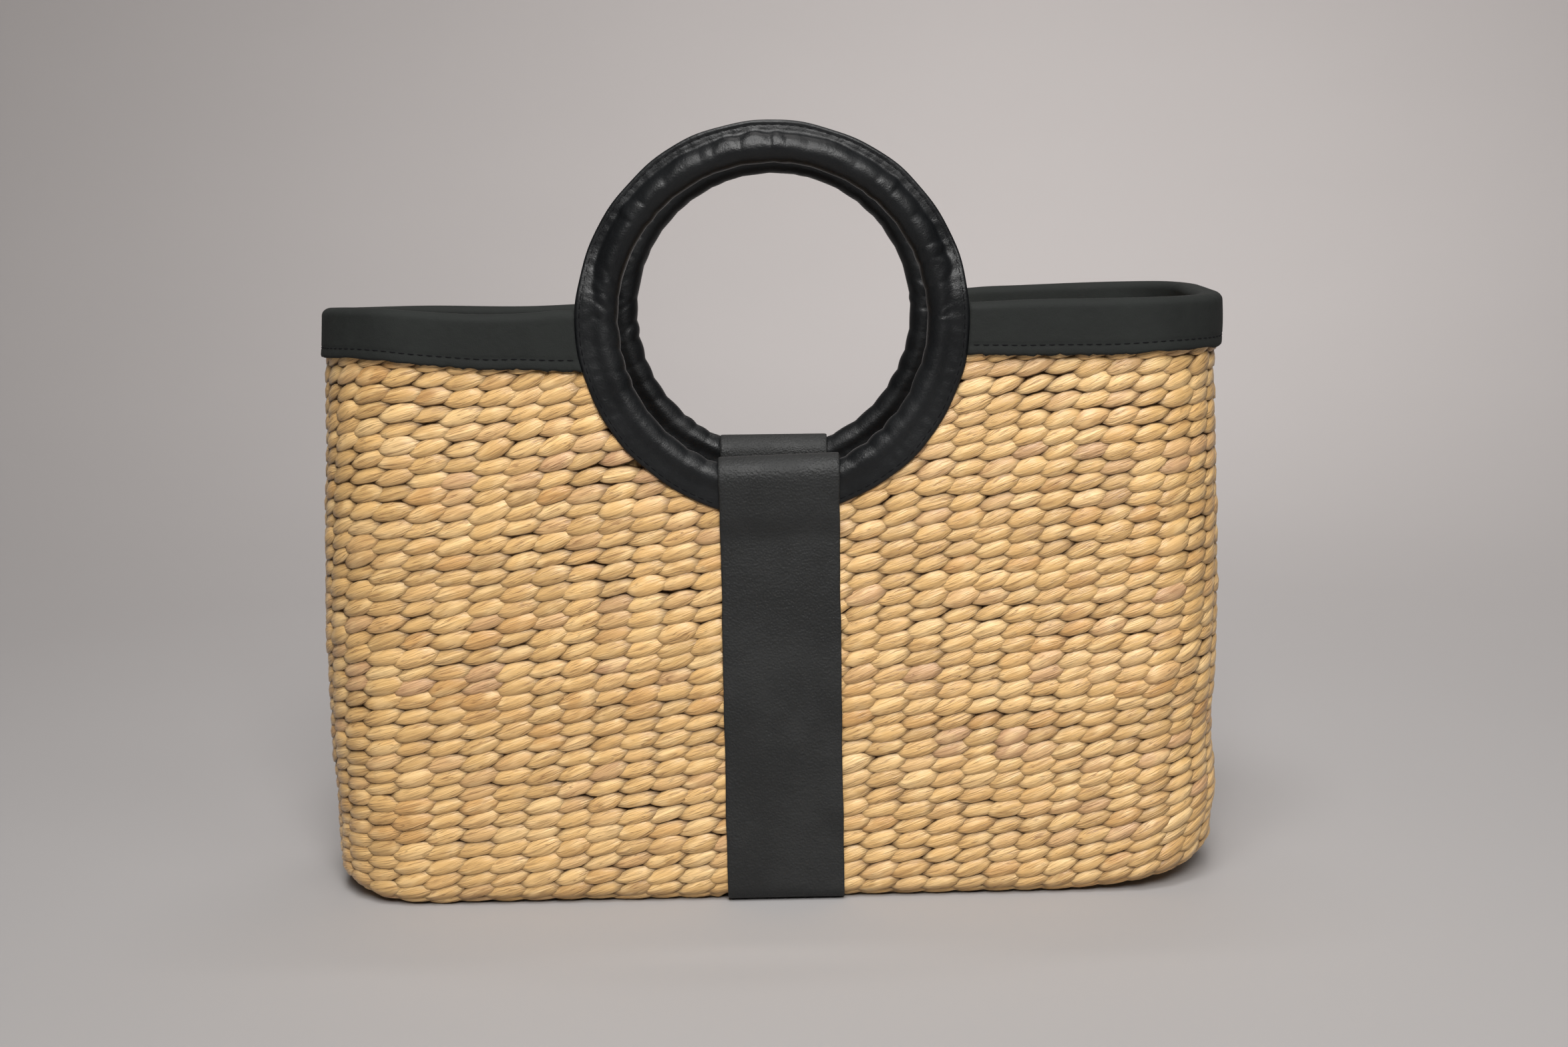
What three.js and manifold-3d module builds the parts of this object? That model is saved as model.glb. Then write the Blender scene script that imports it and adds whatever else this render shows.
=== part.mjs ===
// Water hyacinth tote bag: a twined basket with two leather-covered ring handles, a leather
// binding over each end of its rim, and one leather strap that runs from ring to ring under the base.
// Millimetres, +Z up, the front faces -Y, and the origin is the middle of the underside.

import * as THREE from 'three';
import { mergeVertices } from 'three/addons/utils/BufferGeometryUtils.js';
import Module from 'manifold-3d';

const wasm = await Module();
wasm.setup();

// Basket
const basketWidth = 400; // outside of the weave, end to end
const basketDepth = 122; // outside of the weave, front to back
const basketHeight = 262; // top edge of the weave
const wallThickness = 8; // one twined course, inside to outside
const baseThickness = 8;
const cornerRadius = 45; // outside corner, seen from above
const baseEdgeRadius = 9; // outside edge where the base turns up into the wall
const rimChamfer = 1.5;
const courseHeight = 6.95; // one row of twining
const courseRelief = 1.2; // depth of the groove between two rows

// Ring handles
const ringOpening = 132; // across the hand hole, leather to leather
const ringDrop = 4; // height of the rim above the centre of the rings
const hoopThickness = 9.2;
const hoopPlay = 0.7; // between the hoop and its sleeve
const sleeveThickness = 1.4;
const flangeWidth = 5.3; // sewn edge that stands out beyond the round of the sleeve
const seamSlit = 0.4; // between the two flange leaves above the rim
const flangeClosing = THREE.MathUtils.degToRad(11); // stretch in which the leaves come together
const puckerCount = 24;
const puckerHeight = 0.35;

// Rim bindings
const bindingHeight = 26; // from the top fold to the lower edge
const bindingThickness = 1.5;
const bindingFoldRadius = 4;

// Strap
const strapWidth = 52;
const strapThickness = 1.8;
const strapTailLength = 45; // inside the basket, below the sleeve's flange
const strapBendRadius = 8; // outside of its turn under the base

// Clearances
const seatGap = 0.3; // between pieces that are sewn or pressed together
const strapGap = 0.4; // between the strap and what it lies on
const channelGap = 0.3; // round the strap in its shallow channel under the base

// Fineness of the curves
const cornerSteps = 6;
const foldSteps = 4;
const strapTurnSteps = 10;
const stepsPerPucker = 3;
const sleeveOuterPoints = 8;
const sleeveInnerPoints = 10;
const hoopSides = 8;
const hoopSteps = 40;
const cutSteps = 96;

// Derived places
const halfWidth = basketWidth / 2;
const halfDepth = basketDepth / 2;
const halfWall = wallThickness / 2;
const wallMiddle = halfDepth - halfWall;
const sleeveBore = hoopThickness / 2 + hoopPlay;
const gripRadius = sleeveBore + sleeveThickness;
const ringRadius = ringOpening / 2 + gripRadius;
const ringCentre = basketHeight - ringDrop;
const flangeRadius = ringRadius + gripRadius + flangeWidth;
const notchRadius = ringRadius + hoopThickness / 2 + hoopPlay;
const leafInside = halfWall + seatGap;
const leafOutside = leafInside + sleeveThickness;

const straw = { color: 0xc9a36b, roughness: 0.62, metalness: 0 };
const blackLeather = { color: 0x24272a, roughness: 0.5, metalness: 0 };
const matteLeather = { color: 0x2a2d2f, roughness: 0.72, metalness: 0 };
const rattan = { color: 0xb48a55, roughness: 0.6, metalness: 0 };

const bag = new THREE.Group();

function addPiece(name, geometry, finish) {
  const piece = new THREE.Mesh(geometry, new THREE.MeshStandardMaterial(finish));
  piece.name = name;
  bag.add(piece);
}

// Closed mesh from rows of points. Each row goes once round, and the rows are joined in turn. The rows
// either come back to the first one, or the first and last are closed by the given flat faces.
function meshFromRows(rows, endFaces) {
  const around = rows[0].length;
  const positions = rows.flat().flatMap((point) => point.toArray());
  const index = [];
  const joins = endFaces ? rows.length - 1 : rows.length;
  for (let row = 0; row < joins; row += 1) {
    const here = row * around;
    const next = ((row + 1) % rows.length) * around;
    for (let k = 0; k < around; k += 1) {
      const beside = (k + 1) % around;
      index.push(here + k, here + beside, next + beside);
      index.push(here + k, next + beside, next + k);
    }
  }
  if (endFaces) {
    const last = (rows.length - 1) * around;
    endFaces.forEach(([a, b, c]) => {
      index.push(a, c, b);
      index.push(last + a, last + b, last + c);
    });
  }
  const geometry = new THREE.BufferGeometry();
  geometry.setAttribute('position', new THREE.Float32BufferAttribute(positions, 3));
  geometry.setIndex(index);
  return geometry;
}

function toSolid(geometry) {
  const bare = geometry.clone();
  bare.deleteAttribute('normal');
  bare.deleteAttribute('uv');
  const merged = mergeVertices(bare, 1e-4);
  return new wasm.Manifold(new wasm.Mesh({
    numProp: 3,
    vertProperties: new Float32Array(merged.attributes.position.array),
    triVerts: new Uint32Array(merged.index.array),
  }));
}

function toGeometry(solid) {
  const mesh = solid.getMesh();
  const geometry = new THREE.BufferGeometry();
  geometry.setAttribute('position', new THREE.BufferAttribute(mesh.vertProperties, 3));
  geometry.setIndex(new THREE.BufferAttribute(mesh.triVerts, 1));
  return geometry;
}

// Cylinder round the common axis of both rings, long enough to pass through the whole bag.
function ringAxisCutter(radius) {
  const cutter = new THREE.CylinderGeometry(radius, radius, basketDepth * 2, cutSteps);
  cutter.translate(0, 0, ringCentre);
  return toSolid(cutter);
}

// Plan of the basket, counter-clockwise from above: a rounded rectangle set in from the outside.
function planOutline(inset, height) {
  const radius = cornerRadius - inset;
  const corners = [[1, -1], [1, 1], [-1, 1], [-1, -1]];
  return corners.flatMap(([sideX, sideY], quarter) => {
    const centreX = sideX * (halfWidth - cornerRadius);
    const centreY = sideY * (halfDepth - cornerRadius);
    return Array.from({ length: cornerSteps + 1 }, (_, k) => {
      const angle = (quarter - 1 + k / cornerSteps) * Math.PI / 2;
      return new THREE.Vector3(
        centreX + radius * Math.cos(angle),
        centreY + radius * Math.sin(angle),
        height,
      );
    });
  });
}

// Outside of the basket from the edge of the flat base to the rim, as [inset, height] pairs. Each
// course of twining is a ridge, and the line between two courses is a groove.
function ribbedOutside() {
  const turnLength = baseEdgeRadius * Math.PI / 2;
  const wallTop = basketHeight - rimChamfer;
  const length = turnLength + wallTop - baseEdgeRadius;
  const courses = Math.round(length / courseHeight);
  return Array.from({ length: 2 * courses + 1 }, (_, k) => {
    const along = length * k / (2 * courses);
    const turn = Math.min(along / baseEdgeRadius, Math.PI / 2);
    const rise = Math.max(along - turnLength, 0);
    const isGroove = k % 2 === 0 && k > 0 && k < 2 * courses;
    const radius = baseEdgeRadius - (isGroove ? courseRelief : 0);
    return [baseEdgeRadius - radius * Math.sin(turn), baseEdgeRadius - radius * Math.cos(turn) + rise];
  });
}

// Rim and plain inside of the basket, as [inset, height] pairs down to the edge of the floor.
function plainInside() {
  const turnRadius = Math.max(baseEdgeRadius - wallThickness, 2);
  const turn = Array.from({ length: foldSteps + 1 }, (_, k) => {
    const angle = k / foldSteps * Math.PI / 2;
    return [
      wallThickness + turnRadius * (1 - Math.cos(angle)),
      baseThickness + turnRadius * (1 - Math.sin(angle)),
    ];
  });
  return [
    [rimChamfer, basketHeight],
    [wallThickness - rimChamfer, basketHeight],
    [wallThickness, basketHeight - rimChamfer],
    ...turn,
  ];
}

// Line of the strap in the plane across the bag, from the tail inside the front wall, over the front
// ring, down the front and under the base to its middle, as [y, height] pairs along its mid thickness.
function strapHalfLine() {
  const half = strapThickness / 2;
  const onWall = halfWall + strapGap + half;
  const onLeaf = leafOutside + strapGap + half;
  const onGrip = Math.max(gripRadius + puckerHeight + strapGap + half, onLeaf);
  const innerRadius = ringOpening / 2 - puckerHeight;
  const gripTop = ringCentre - Math.sqrt(innerRadius ** 2 - (strapWidth / 2) ** 2);
  const loopCentre = gripTop + strapGap + half - onGrip;
  const gripBottom = Math.min(ringCentre - ringRadius, loopCentre) - 1;
  const leafBottom = ringCentre - flangeRadius - 1;
  const landing = leafBottom - 2 * (onLeaf - onWall) - 4;
  const tailEnd = ringCentre - flangeRadius - strapTailLength;
  const line = [
    [onWall, tailEnd],
    [onWall, landing],
    [onLeaf, leafBottom],
    [onGrip, gripBottom],
  ];
  for (let k = 0; k <= strapTurnSteps; k += 1) {
    const angle = Math.PI * k / strapTurnSteps;
    line.push([onGrip * Math.cos(angle), loopCentre + onGrip * Math.sin(angle)]);
  }
  line.push([-onGrip, gripBottom], [-onLeaf, leafBottom], [-onWall, landing]);
  const bendRadius = strapBendRadius - half;
  for (let k = 0; k <= strapTurnSteps / 2; k += 1) {
    const angle = Math.PI / 2 * k / (strapTurnSteps / 2);
    line.push([
      -onWall + bendRadius * (1 - Math.cos(angle)),
      half + bendRadius * (1 - Math.sin(angle)),
    ]);
  }
  return line.map(([across, height]) => new THREE.Vector2(across - wallMiddle, height));
}

// Strap as a solid of the given thickness and width, lying on the strap's line.
function strapSolid(thickness, width) {
  const front = strapHalfLine();
  const back = front.map((point) => new THREE.Vector2(-point.x, point.y)).reverse();
  const line = [...front, ...back];
  const normals = line.map((point, k) => {
    const before = line[Math.max(k - 1, 0)];
    const after = line[Math.min(k + 1, line.length - 1)];
    const incoming = new THREE.Vector2().subVectors(point, before).normalize();
    const outgoing = new THREE.Vector2().subVectors(after, point).normalize();
    const along = incoming.clone().add(outgoing).normalize();
    const miter = 1 / Math.max(along.dot(k ? incoming : outgoing), 0.5);
    return new THREE.Vector2(-along.y, along.x).multiplyScalar(miter * thickness / 2);
  });
  const leftSide = line.map((point, k) => point.clone().add(normals[k]));
  const rightSide = line.map((point, k) => point.clone().sub(normals[k])).reverse();
  const section = new THREE.Shape([...leftSide, ...rightSide]);
  const geometry = new THREE.ExtrudeGeometry(section, { depth: width, bevelEnabled: false });
  geometry.translate(0, 0, -width / 2);
  geometry.applyMatrix4(new THREE.Matrix4().makeBasis(
    new THREE.Vector3(0, 1, 0),
    new THREE.Vector3(0, 0, 1),
    new THREE.Vector3(1, 0, 0),
  ));
  return toSolid(geometry);
}

// Twined basket: base and wall in one, open at the top, notched for the rings and with a shallow
// channel under the base in which the strap lies flush.
function basketBody() {
  const profile = [...ribbedOutside(), ...plainInside()];
  const rows = profile.map(([inset, height]) => planOutline(inset, height));
  const plan = rows[0].map((point) => new THREE.Vector2(point.x, point.y));
  const basket = toSolid(meshFromRows(rows, THREE.ShapeUtils.triangulateShape(plan, [])));
  const notched = basket.subtract(ringAxisCutter(notchRadius));
  const channel = strapSolid(strapThickness + 2 * channelGap, strapWidth + 2 * channelGap);
  addPiece('basket_body', toGeometry(notched.subtract(channel)), straw);
}

// Half gap between the flange leaves at an angle round the ring. Below the rim the leaves straddle the
// wall, and above it they come together.
function leafGapAt(angle) {
  const elevation = Math.asin(Math.sin(angle));
  const stepAngle = 2 * Math.PI / (puckerCount * stepsPerPucker);
  const closingStart = Math.asin(ringDrop / notchRadius) + stepAngle;
  const closed = THREE.MathUtils.smoothstep(elevation, closingStart, closingStart + flangeClosing);
  return THREE.MathUtils.lerp(leafInside, seamSlit / 2, closed);
}

// Section of the sleeve at an angle round the ring, as [outward, across] pairs: a horseshoe round the
// hoop whose two leaves run outwards to the sewn flange.
function sleeveSection(angle) {
  const inside = leafGapAt(angle);
  const outside = inside + sleeveThickness;
  const outerRadius = gripRadius + puckerHeight * Math.cos(puckerCount * angle);
  const tip = flangeRadius - ringRadius;
  const outerStart = Math.asin(Math.min(outside / outerRadius, 0.97));
  const innerStart = Math.asin(Math.min(inside / sleeveBore, 0.97));
  const section = [[tip, outside]];
  for (let k = 0; k < sleeveOuterPoints; k += 1) {
    const around = outerStart + (2 * Math.PI - 2 * outerStart) * k / (sleeveOuterPoints - 1);
    section.push([outerRadius * Math.cos(around), outerRadius * Math.sin(around)]);
  }
  section.push([tip, -outside], [tip, -inside]);
  for (let k = 0; k < sleeveInnerPoints; k += 1) {
    const around = 2 * Math.PI - innerStart - (2 * Math.PI - 2 * innerStart) * k / (sleeveInnerPoints - 1);
    section.push([sleeveBore * Math.cos(around), sleeveBore * Math.sin(around)]);
  }
  section.push([tip, inside]);
  return section;
}

// Leather sleeve of one ring handle, in the plane of its wall.
function hoopCover(name, wallY) {
  const steps = puckerCount * stepsPerPucker;
  const rows = Array.from({ length: steps }, (_, step) => {
    const angle = 2 * Math.PI * step / steps;
    return sleeveSection(angle).map(([outward, across]) => new THREE.Vector3(
      (ringRadius + outward) * Math.cos(angle),
      wallY + across,
      ringCentre + (ringRadius + outward) * Math.sin(angle),
    ));
  });
  addPiece(name, meshFromRows(rows), blackLeather);
}

// Stiff round hoop that carries the hand's pull inside its sleeve.
function hoop(name, wallY) {
  const ring = new THREE.TorusGeometry(ringRadius, hoopThickness / 2, hoopSides, hoopSteps);
  ring.rotateX(Math.PI / 2);
  ring.translate(0, wallY, ringCentre);
  addPiece(name, toGeometry(toSolid(ring)), rattan);
}

// Section of a rim binding, as [outward, height] pairs from the middle of the wall: a strip folded over
// the rim with a leaf on each face of the weave.
function bindingSection() {
  const inside = halfWall + seatGap;
  const outside = inside + bindingThickness;
  const top = basketHeight + seatGap + bindingThickness;
  const bottom = top - bindingHeight;
  const foldRadius = Math.min(bindingFoldRadius, outside);
  const outerFold = Array.from({ length: foldSteps + 1 }, (_, k) => {
    const angle = k / foldSteps * Math.PI / 2;
    return [
      outside - foldRadius * (1 - Math.cos(angle)),
      top - foldRadius * (1 - Math.sin(angle)),
    ];
  });
  const innerFold = outerFold.map(([outward, height]) => [-outward, height]).reverse();
  return [
    [outside, bottom],
    ...outerFold,
    ...innerFold,
    [-outside, bottom],
    [-inside, bottom],
    [-inside, basketHeight - rimChamfer],
    [rimChamfer - inside, basketHeight + seatGap],
    [inside - rimChamfer, basketHeight + seatGap],
    [inside, basketHeight - rimChamfer],
    [inside, bottom],
  ];
}

// Leather strip folded over one end of the rim, from the front ring to the back ring. side is -1 for
// the left end and 1 for the right one.
function rimBinding(name, side) {
  const section = bindingSection();
  const endX = side * (halfWidth - cornerRadius);
  const startX = side * ringRadius;
  const cornerY = halfDepth - cornerRadius;
  const path = [{ x: startX, y: -cornerY, angle: -Math.PI / 2 }];
  for (let quarter = 0; quarter < 2; quarter += 1) {
    for (let k = 0; k <= cornerSteps; k += 1) {
      const turn = (quarter + k / cornerSteps - 1) * Math.PI / 2;
      const angle = side > 0 ? turn : Math.PI - turn;
      path.push({ x: endX, y: quarter ? cornerY : -cornerY, angle });
    }
  }
  path.push({ x: startX, y: cornerY, angle: Math.PI / 2 });
  if (side > 0) {
    path.reverse();
  }
  const rows = path.map((place) => section.map(([outward, height]) => {
    const reach = cornerRadius - halfWall + outward;
    return new THREE.Vector3(
      place.x + reach * Math.cos(place.angle),
      place.y + reach * Math.sin(place.angle),
      height,
    );
  }));
  const outline = section.map(([outward, height]) => new THREE.Vector2(outward, height));
  const strip = toSolid(meshFromRows(rows, THREE.ShapeUtils.triangulateShape(outline, [])));
  addPiece(name, toGeometry(strip.subtract(ringAxisCutter(flangeRadius + seatGap))), matteLeather);
}

basketBody();
hoop('hoop_front', -wallMiddle);
hoop('hoop_back', wallMiddle);
hoopCover('hoop_cover_front', -wallMiddle);
hoopCover('hoop_cover_back', wallMiddle);
rimBinding('rim_binding_left', -1);
rimBinding('rim_binding_right', 1);
addPiece('centre_strap', toGeometry(strapSolid(strapThickness, strapWidth)), matteLeather);

export default bag;
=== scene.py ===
"""Water hyacinth bag: a twined basket with leather-covered ring handles, a bound rim and one strap.

The frame is loaded first. One operator makes the stage, and each of the others makes one piece or one
group of like pieces round the frame. Shapes are worked out in millimetres and written in metres.
"""

import math

import bpy
import numpy as np
from mathutils import Matrix, Vector


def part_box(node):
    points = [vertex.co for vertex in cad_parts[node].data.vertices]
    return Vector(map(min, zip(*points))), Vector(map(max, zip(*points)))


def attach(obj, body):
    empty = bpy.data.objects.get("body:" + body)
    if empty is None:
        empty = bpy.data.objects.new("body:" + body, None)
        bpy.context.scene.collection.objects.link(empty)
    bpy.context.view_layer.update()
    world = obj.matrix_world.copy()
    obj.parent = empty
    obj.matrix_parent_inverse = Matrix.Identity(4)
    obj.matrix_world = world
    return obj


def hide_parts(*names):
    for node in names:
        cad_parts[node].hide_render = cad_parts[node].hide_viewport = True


bl_info = {
    "name": "Water hyacinth bag",
    "version": (1, 0, 0),
    "blender": (4, 5, 0),
    "location": "3D View > Sidebar > Bag",
    "description": "Makes the weave, leather, threads and stage round the frame of the bag",
    "category": "Add Mesh",
}

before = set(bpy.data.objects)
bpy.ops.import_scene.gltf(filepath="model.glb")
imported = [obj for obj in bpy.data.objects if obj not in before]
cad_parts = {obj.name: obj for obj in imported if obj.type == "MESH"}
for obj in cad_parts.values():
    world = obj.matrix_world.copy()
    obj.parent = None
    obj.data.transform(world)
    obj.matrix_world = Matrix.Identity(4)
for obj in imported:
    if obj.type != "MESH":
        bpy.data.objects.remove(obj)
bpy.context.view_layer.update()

# Millimetres in a metre, and a quarter and a full turn
MM = 1000.0
QUARTER = math.pi / 2
ROUND = 2 * math.pi


def node_box(name):
    """Lowest and highest corner of a node of the frame, in millimetres."""
    return [np.array(corner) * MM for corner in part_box(name)]


_, basket_high = node_box("basket_body")
hoop_low, hoop_high = node_box("hoop_front")
sleeve_low, sleeve_high = node_box("hoop_cover_front")
binding_low, binding_high = node_box("rim_binding_right")
strap_low, strap_high = node_box("centre_strap")

# Basket
HALF_WIDTH, HALF_DEPTH, RIM_HEIGHT = basket_high
HALF_WALL = 4.0
CORNER_RADIUS = 45.0
EDGE_RADIUS = 7.0
RIM_CHAMFER = 1.5
END_X = HALF_WIDTH - CORNER_RADIUS
END_Y = HALF_DEPTH - CORNER_RADIUS
MIDDLE_RADIUS = CORNER_RADIUS - HALF_WALL
TURN_LENGTH = EDGE_RADIUS * QUARTER
WALL_LENGTH = TURN_LENGTH + RIM_HEIGHT - RIM_CHAMFER - EDGE_RADIUS
# How far the weave of the base reaches from the centres of its corners
BASE_REACH = CORNER_RADIUS - EDGE_RADIUS + 2.5

# Rings
HOOP_RADIUS = (hoop_high[1] - hoop_low[1]) / 2
RING_RADIUS = (hoop_high[0] - hoop_low[0]) / 2 - HOOP_RADIUS
RING_HEIGHT = (hoop_high[2] + hoop_low[2]) / 2
WALL_MIDDLE = -(hoop_high[1] + hoop_low[1]) / 2
FLANGE_RADIUS = (sleeve_high[0] - sleeve_low[0]) / 2
SLEEVE_THICKNESS = 1.4
SLEEVE_BORE = HOOP_RADIUS + 0.7
GRIP_RADIUS = SLEEVE_BORE + SLEEVE_THICKNESS
SEAT_GAP = 0.3
SLEEVE_SEAM = 2.1
LEAF_INSIDE = HALF_WALL + SEAT_GAP
LEAF_OUTSIDE = LEAF_INSIDE + SLEEVE_THICKNESS
# Degrees up the ring where the leaves start to close over the rim, and where their faces have closed
LEAF_START = 3
LEAF_CLOSED_INSIDE = 11
LEAF_CLOSED_OUTSIDE = 25
# How far the leather bulges between two gathers, how much narrower it lies on the inside of the ring, and
# how far the strap presses it there on the front ring (1) and on the back one (-1)
LOBE_HEIGHT = 1.3
INNER_SLACK = 0.5
STRAP_PRESS = {1: 0.3, -1: 1.3}

# Bindings
BINDING_TOP = binding_high[2]
BINDING_BOTTOM = binding_low[2]
BINDING_THICKNESS = 1.5
BINDING_FOLD = 4.0
BINDING_SEAM = 4.7

# Strap
STRAP_HALF = (strap_high[0] - strap_low[0]) / 2
STRAP_THICKNESS = 1.8
STRAP_GAP = 0.4
STRAP_TAIL = 45.0
STRAP_BEND = 4.5
STRAP_SEAM = 3.6
STRAP_HEM = 5.6
BACK_LOOP_DROP = 1.8
# How far round the edge of the base the strap presses on the weave, and how far the weave swells out of its
# drawn face under leather and where it is free
STRAP_PRESSES_TO = 9.4
SWELL_COVERED = 0.3
SWELL_FREE = 0.9

# Plan of the basket as a line of corner centres with an outward direction: end points of each
# straight and each corner, from the middle of the back wall counter-clockwise seen from above
PLAN_X = np.array([0, -END_X, -END_X, -END_X, -END_X, END_X, END_X, END_X, END_X, 0])
PLAN_Y = np.array([END_Y, END_Y, END_Y, -END_Y, -END_Y, -END_Y, -END_Y, END_Y, END_Y, END_Y])
PLAN_ANGLE = np.array([1, 1, 2, 2, 3, 3, 4, 4, 5, 5]) * QUARTER
PLAN_LENGTH = np.concatenate([[0], np.cumsum(
    np.hypot(np.diff(PLAN_X), np.diff(PLAN_Y)) + np.diff(PLAN_ANGLE) * MIDDLE_RADIUS)])
GIRTH = PLAN_LENGTH[-1]
FRONT_MIDDLE = PLAN_LENGTH[4] + END_X

# How far the rim stands above its drawn place at the front and at the back, as (x, rise) pairs
RIM_FRONT = [(-200, 3.0), (-172, 2.8), (-150, 0.9), (-125, -0.8), (-105, -0.6), (-92, 0.2), (-84, 0.1),
             (-74, 0), (74, 0), (84, 0), (110, 0.6), (150, 0.5), (190, 0.8), (205, 1.2)]
RIM_BACK = [(-205, 1.2), (-172, 0.8), (-115, -0.6), (-90, 0), (-74, 0), (64, 0), (78, 0.2), (88, 2.8),
            (100, 4.0), (120, 4.5), (170, 5.3), (192, 5.2), (208, 4.2)]
# The same for the lower corners and for the lower edges of the bindings
CORNER_LIFT = [(-205, 7.6), (-190, 4.6), (-175, 1.6), (-160, 0.2), (-130, 0), (-110, 0), (90, 0), (110, 0),
               (130, 0.8), (160, 3.6), (175, 6.0), (190, 9.2), (205, 12.6)]
BINDING_LIFT = [(-205, 4.2), (-175, 4.4), (-155, 3.6), (-135, 3.0), (-119, 2.3), (-111, 2.2), (-104, 1.5),
                (-96, 0.2), (-86, -0.2), (86, 3.8), (98, 3.0), (110, 2.2), (125, 2.1), (150, 2.0), (172, 3.0),
                (205, 2.4)]
# How far the two ends stand out to the right of their drawn place, as (height, shift) pairs
LEFT_END = [(0, -7.0), (33, -7.0), (62, -8.2), (100, -8.4), (134, -7.8), (170, -6.0), (205, -3.6),
            (232, -2.2), (264, -0.4)]
RIGHT_END = [(12, -1.6), (30, 1.0), (45, 0), (60, -1.0), (75, -1.0), (91, 0), (134, 1.0), (183, -0.2),
             (205, -0.5), (232, -1.2), (250, 0.2), (264, 0)]

# Turns that the fibres make round a stitch from its middle to its tip, how much further out the lower left
# tip of a stitch lies than its middle, and how far its lower edge is tilted out
FIBRE_TWIST = 0.06
STITCH_LAP = 0.10
STITCH_TILT = 0.45
# Lengths that one unit of the fibre map and one unit of the stored depth stand for. The stored depth sets the
# painted shade deep between the stitches.
FIBRE_UNIT = 16.0
DEPTH_UNIT = 5.0
# How far in under the flanges the stitches go on, and how far up from the base those of the inside start
UNDER_FLANGE = 5.2
INSIDE_START = 9
# Places along each stitch and angles round it of its mesh. The outer side has more of them.
OUTER_POINTS = (np.array([-0.96, -0.84, -0.62, -0.33, 0.0, 0.33, 0.62, 0.84, 0.96]),
                np.radians([0, 46, 88, 180, -88, -46]))
INNER_POINTS = (np.array([-0.85, -0.45, 0.0, 0.45, 0.85]), np.radians([0, 50, 105, 180, 255, 310]))
# Shell of stakes: half its mean thickness, how much the ribs add to it and take from it, how far it ends
# below the rim and inside the edge of a flange, how far it reaches over the base, and its points
SHELL_HALF = 0.7
SHELL_RIB = 0.4
SHELL_BELOW_RIM = 1.0
SHELL_IN_NOTCH = 5
SHELL_FLOOR = 24
SHELL_ROWS = 42
POINTS_PER_STAKE = 6

# Unevenness of the weave: how much its courses widen upwards, how far they rise at the strap and over what
# width, their ripple, and how unevenly the stitches sit round and up the wall
COURSE_WIDENING = 0.05
HUMP_HEIGHT = 3.6
HUMP_WIDTH = 62
RIPPLE_HEIGHT = 0.55
RIPPLE_LENGTH = 137
UNEVEN_ROUND = 0.30
UNEVEN_UP = 0.20

# Points of a sleeve round its ring, across each leaf and round its tube
RING_POINTS = 640
LEAF_POINTS = 10
TUBE_POINTS = 34
# Steps of a binding along the front, round a corner, along the end, round a corner and along the back
BINDING_STEPS = [45, 14, 7, 14, 45]
# Column of points that each seam follows, counted from an edge of the leather, and the share of the
# thread's thickness that stands out there, less than 1 where it is drawn into the leather
SEAMS = {"sleeve": (3, 0.6), "binding": (4, 0.8), "strap": (6, 1.0)}
# Places along a stitch of thread, from -1 to 1, and number of sides of its mesh
THREAD_PLACES = [-0.8, -0.25, 0.25, 0.8]
THREAD_SIDES = 6

# Seeds of the random draws
SLACK_SEED = 5
OUTSIDE_SEED = 11
INSIDE_SEED = 12
BASE_SEED = 13
SLEEVE_SEEDS = {1: 21, -1: 31}
BINDING_SEEDS = {-1: 41, 1: 43}
STRAP_SEED = 51

# Backdrop in metres: radius, radius of the turn from floor to wall, height and points round it
SWEEP_RADIUS = 2.6
SWEEP_TURN = 1.7
SWEEP_HEIGHT = 2.6
SWEEP_POINTS = 96
# Lamps: name, place, target and size in metres, colour, and spread in degrees. The power of each one is
# among the settings.
DAYLIGHT = (1.0, 0.99, 0.975)
WARM = (1.0, 0.95, 0.92)
LAMPS = (
    ("top", (-0.1, -0.8, 2.0), (0.05, 0, 0.15), 0.7, DAYLIGHT, 100),
    ("front", (0.1, -1.4, 1.25), (0.05, 0, 0.15), 0.7, DAYLIGHT, 100),
    ("right", (1.1, -1.1, 1.7), (0, 0, 0.15), 0.8, DAYLIGHT, 180),
    ("wall", (0.1, 0.5, 2.2), (0.1, 2.2, 1.4), 0.8, WARM, 180),
    ("pool", (0.3, 0.2, 1.9), (0.25, 2.2, 0.9), 0.6, WARM, 90),
    ("behind", (0.35, 1.0, 1.6), (0.3, 1.6, 0), 0.6, WARM, 120),
)


def smooth(value, low, high):
    """Soft step from 0 at low to 1 at high, 3t^2 - 2t^3."""
    t = np.clip((np.asarray(value, float) - low) / (high - low), 0, 1)
    return t * t * (3 - 2 * t)


def bell(value, width):
    """Rounded bump of height 1 at zero, exp(-(value / width)^2)."""
    return np.exp(-(value / width) ** 2)


def soft_line(value, table):
    """Smooth curve through the (place, height) pairs of a table, level beyond both ends: a cubic between
    each two pairs, whose slope at a pair is that of the line from the pair before to the pair after."""
    places, heights = np.array(table, float).T
    value = np.clip(value, places[0], places[-1])
    slopes = np.gradient(heights, places)
    left = np.clip(np.searchsorted(places, value, side="right") - 1, 0, len(places) - 2)
    step = places[left + 1] - places[left]
    t = (value - places[left]) / step
    return (heights[left] * (1 + 2 * t) * (1 - t) ** 2 + heights[left + 1] * t * t * (3 - 2 * t)
            + step * slopes[left] * t * (1 - t) ** 2 - step * slopes[left + 1] * t * t * (1 - t))


def waves(value, counts, sizes, seed):
    """Sum of sines of the value, each with its own whole count, size and random phase."""
    phases = np.random.default_rng(seed).uniform(0, ROUND, len(counts))
    return sum(s * np.sin(c * value + p) for c, s, p in zip(counts, sizes, phases))


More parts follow.
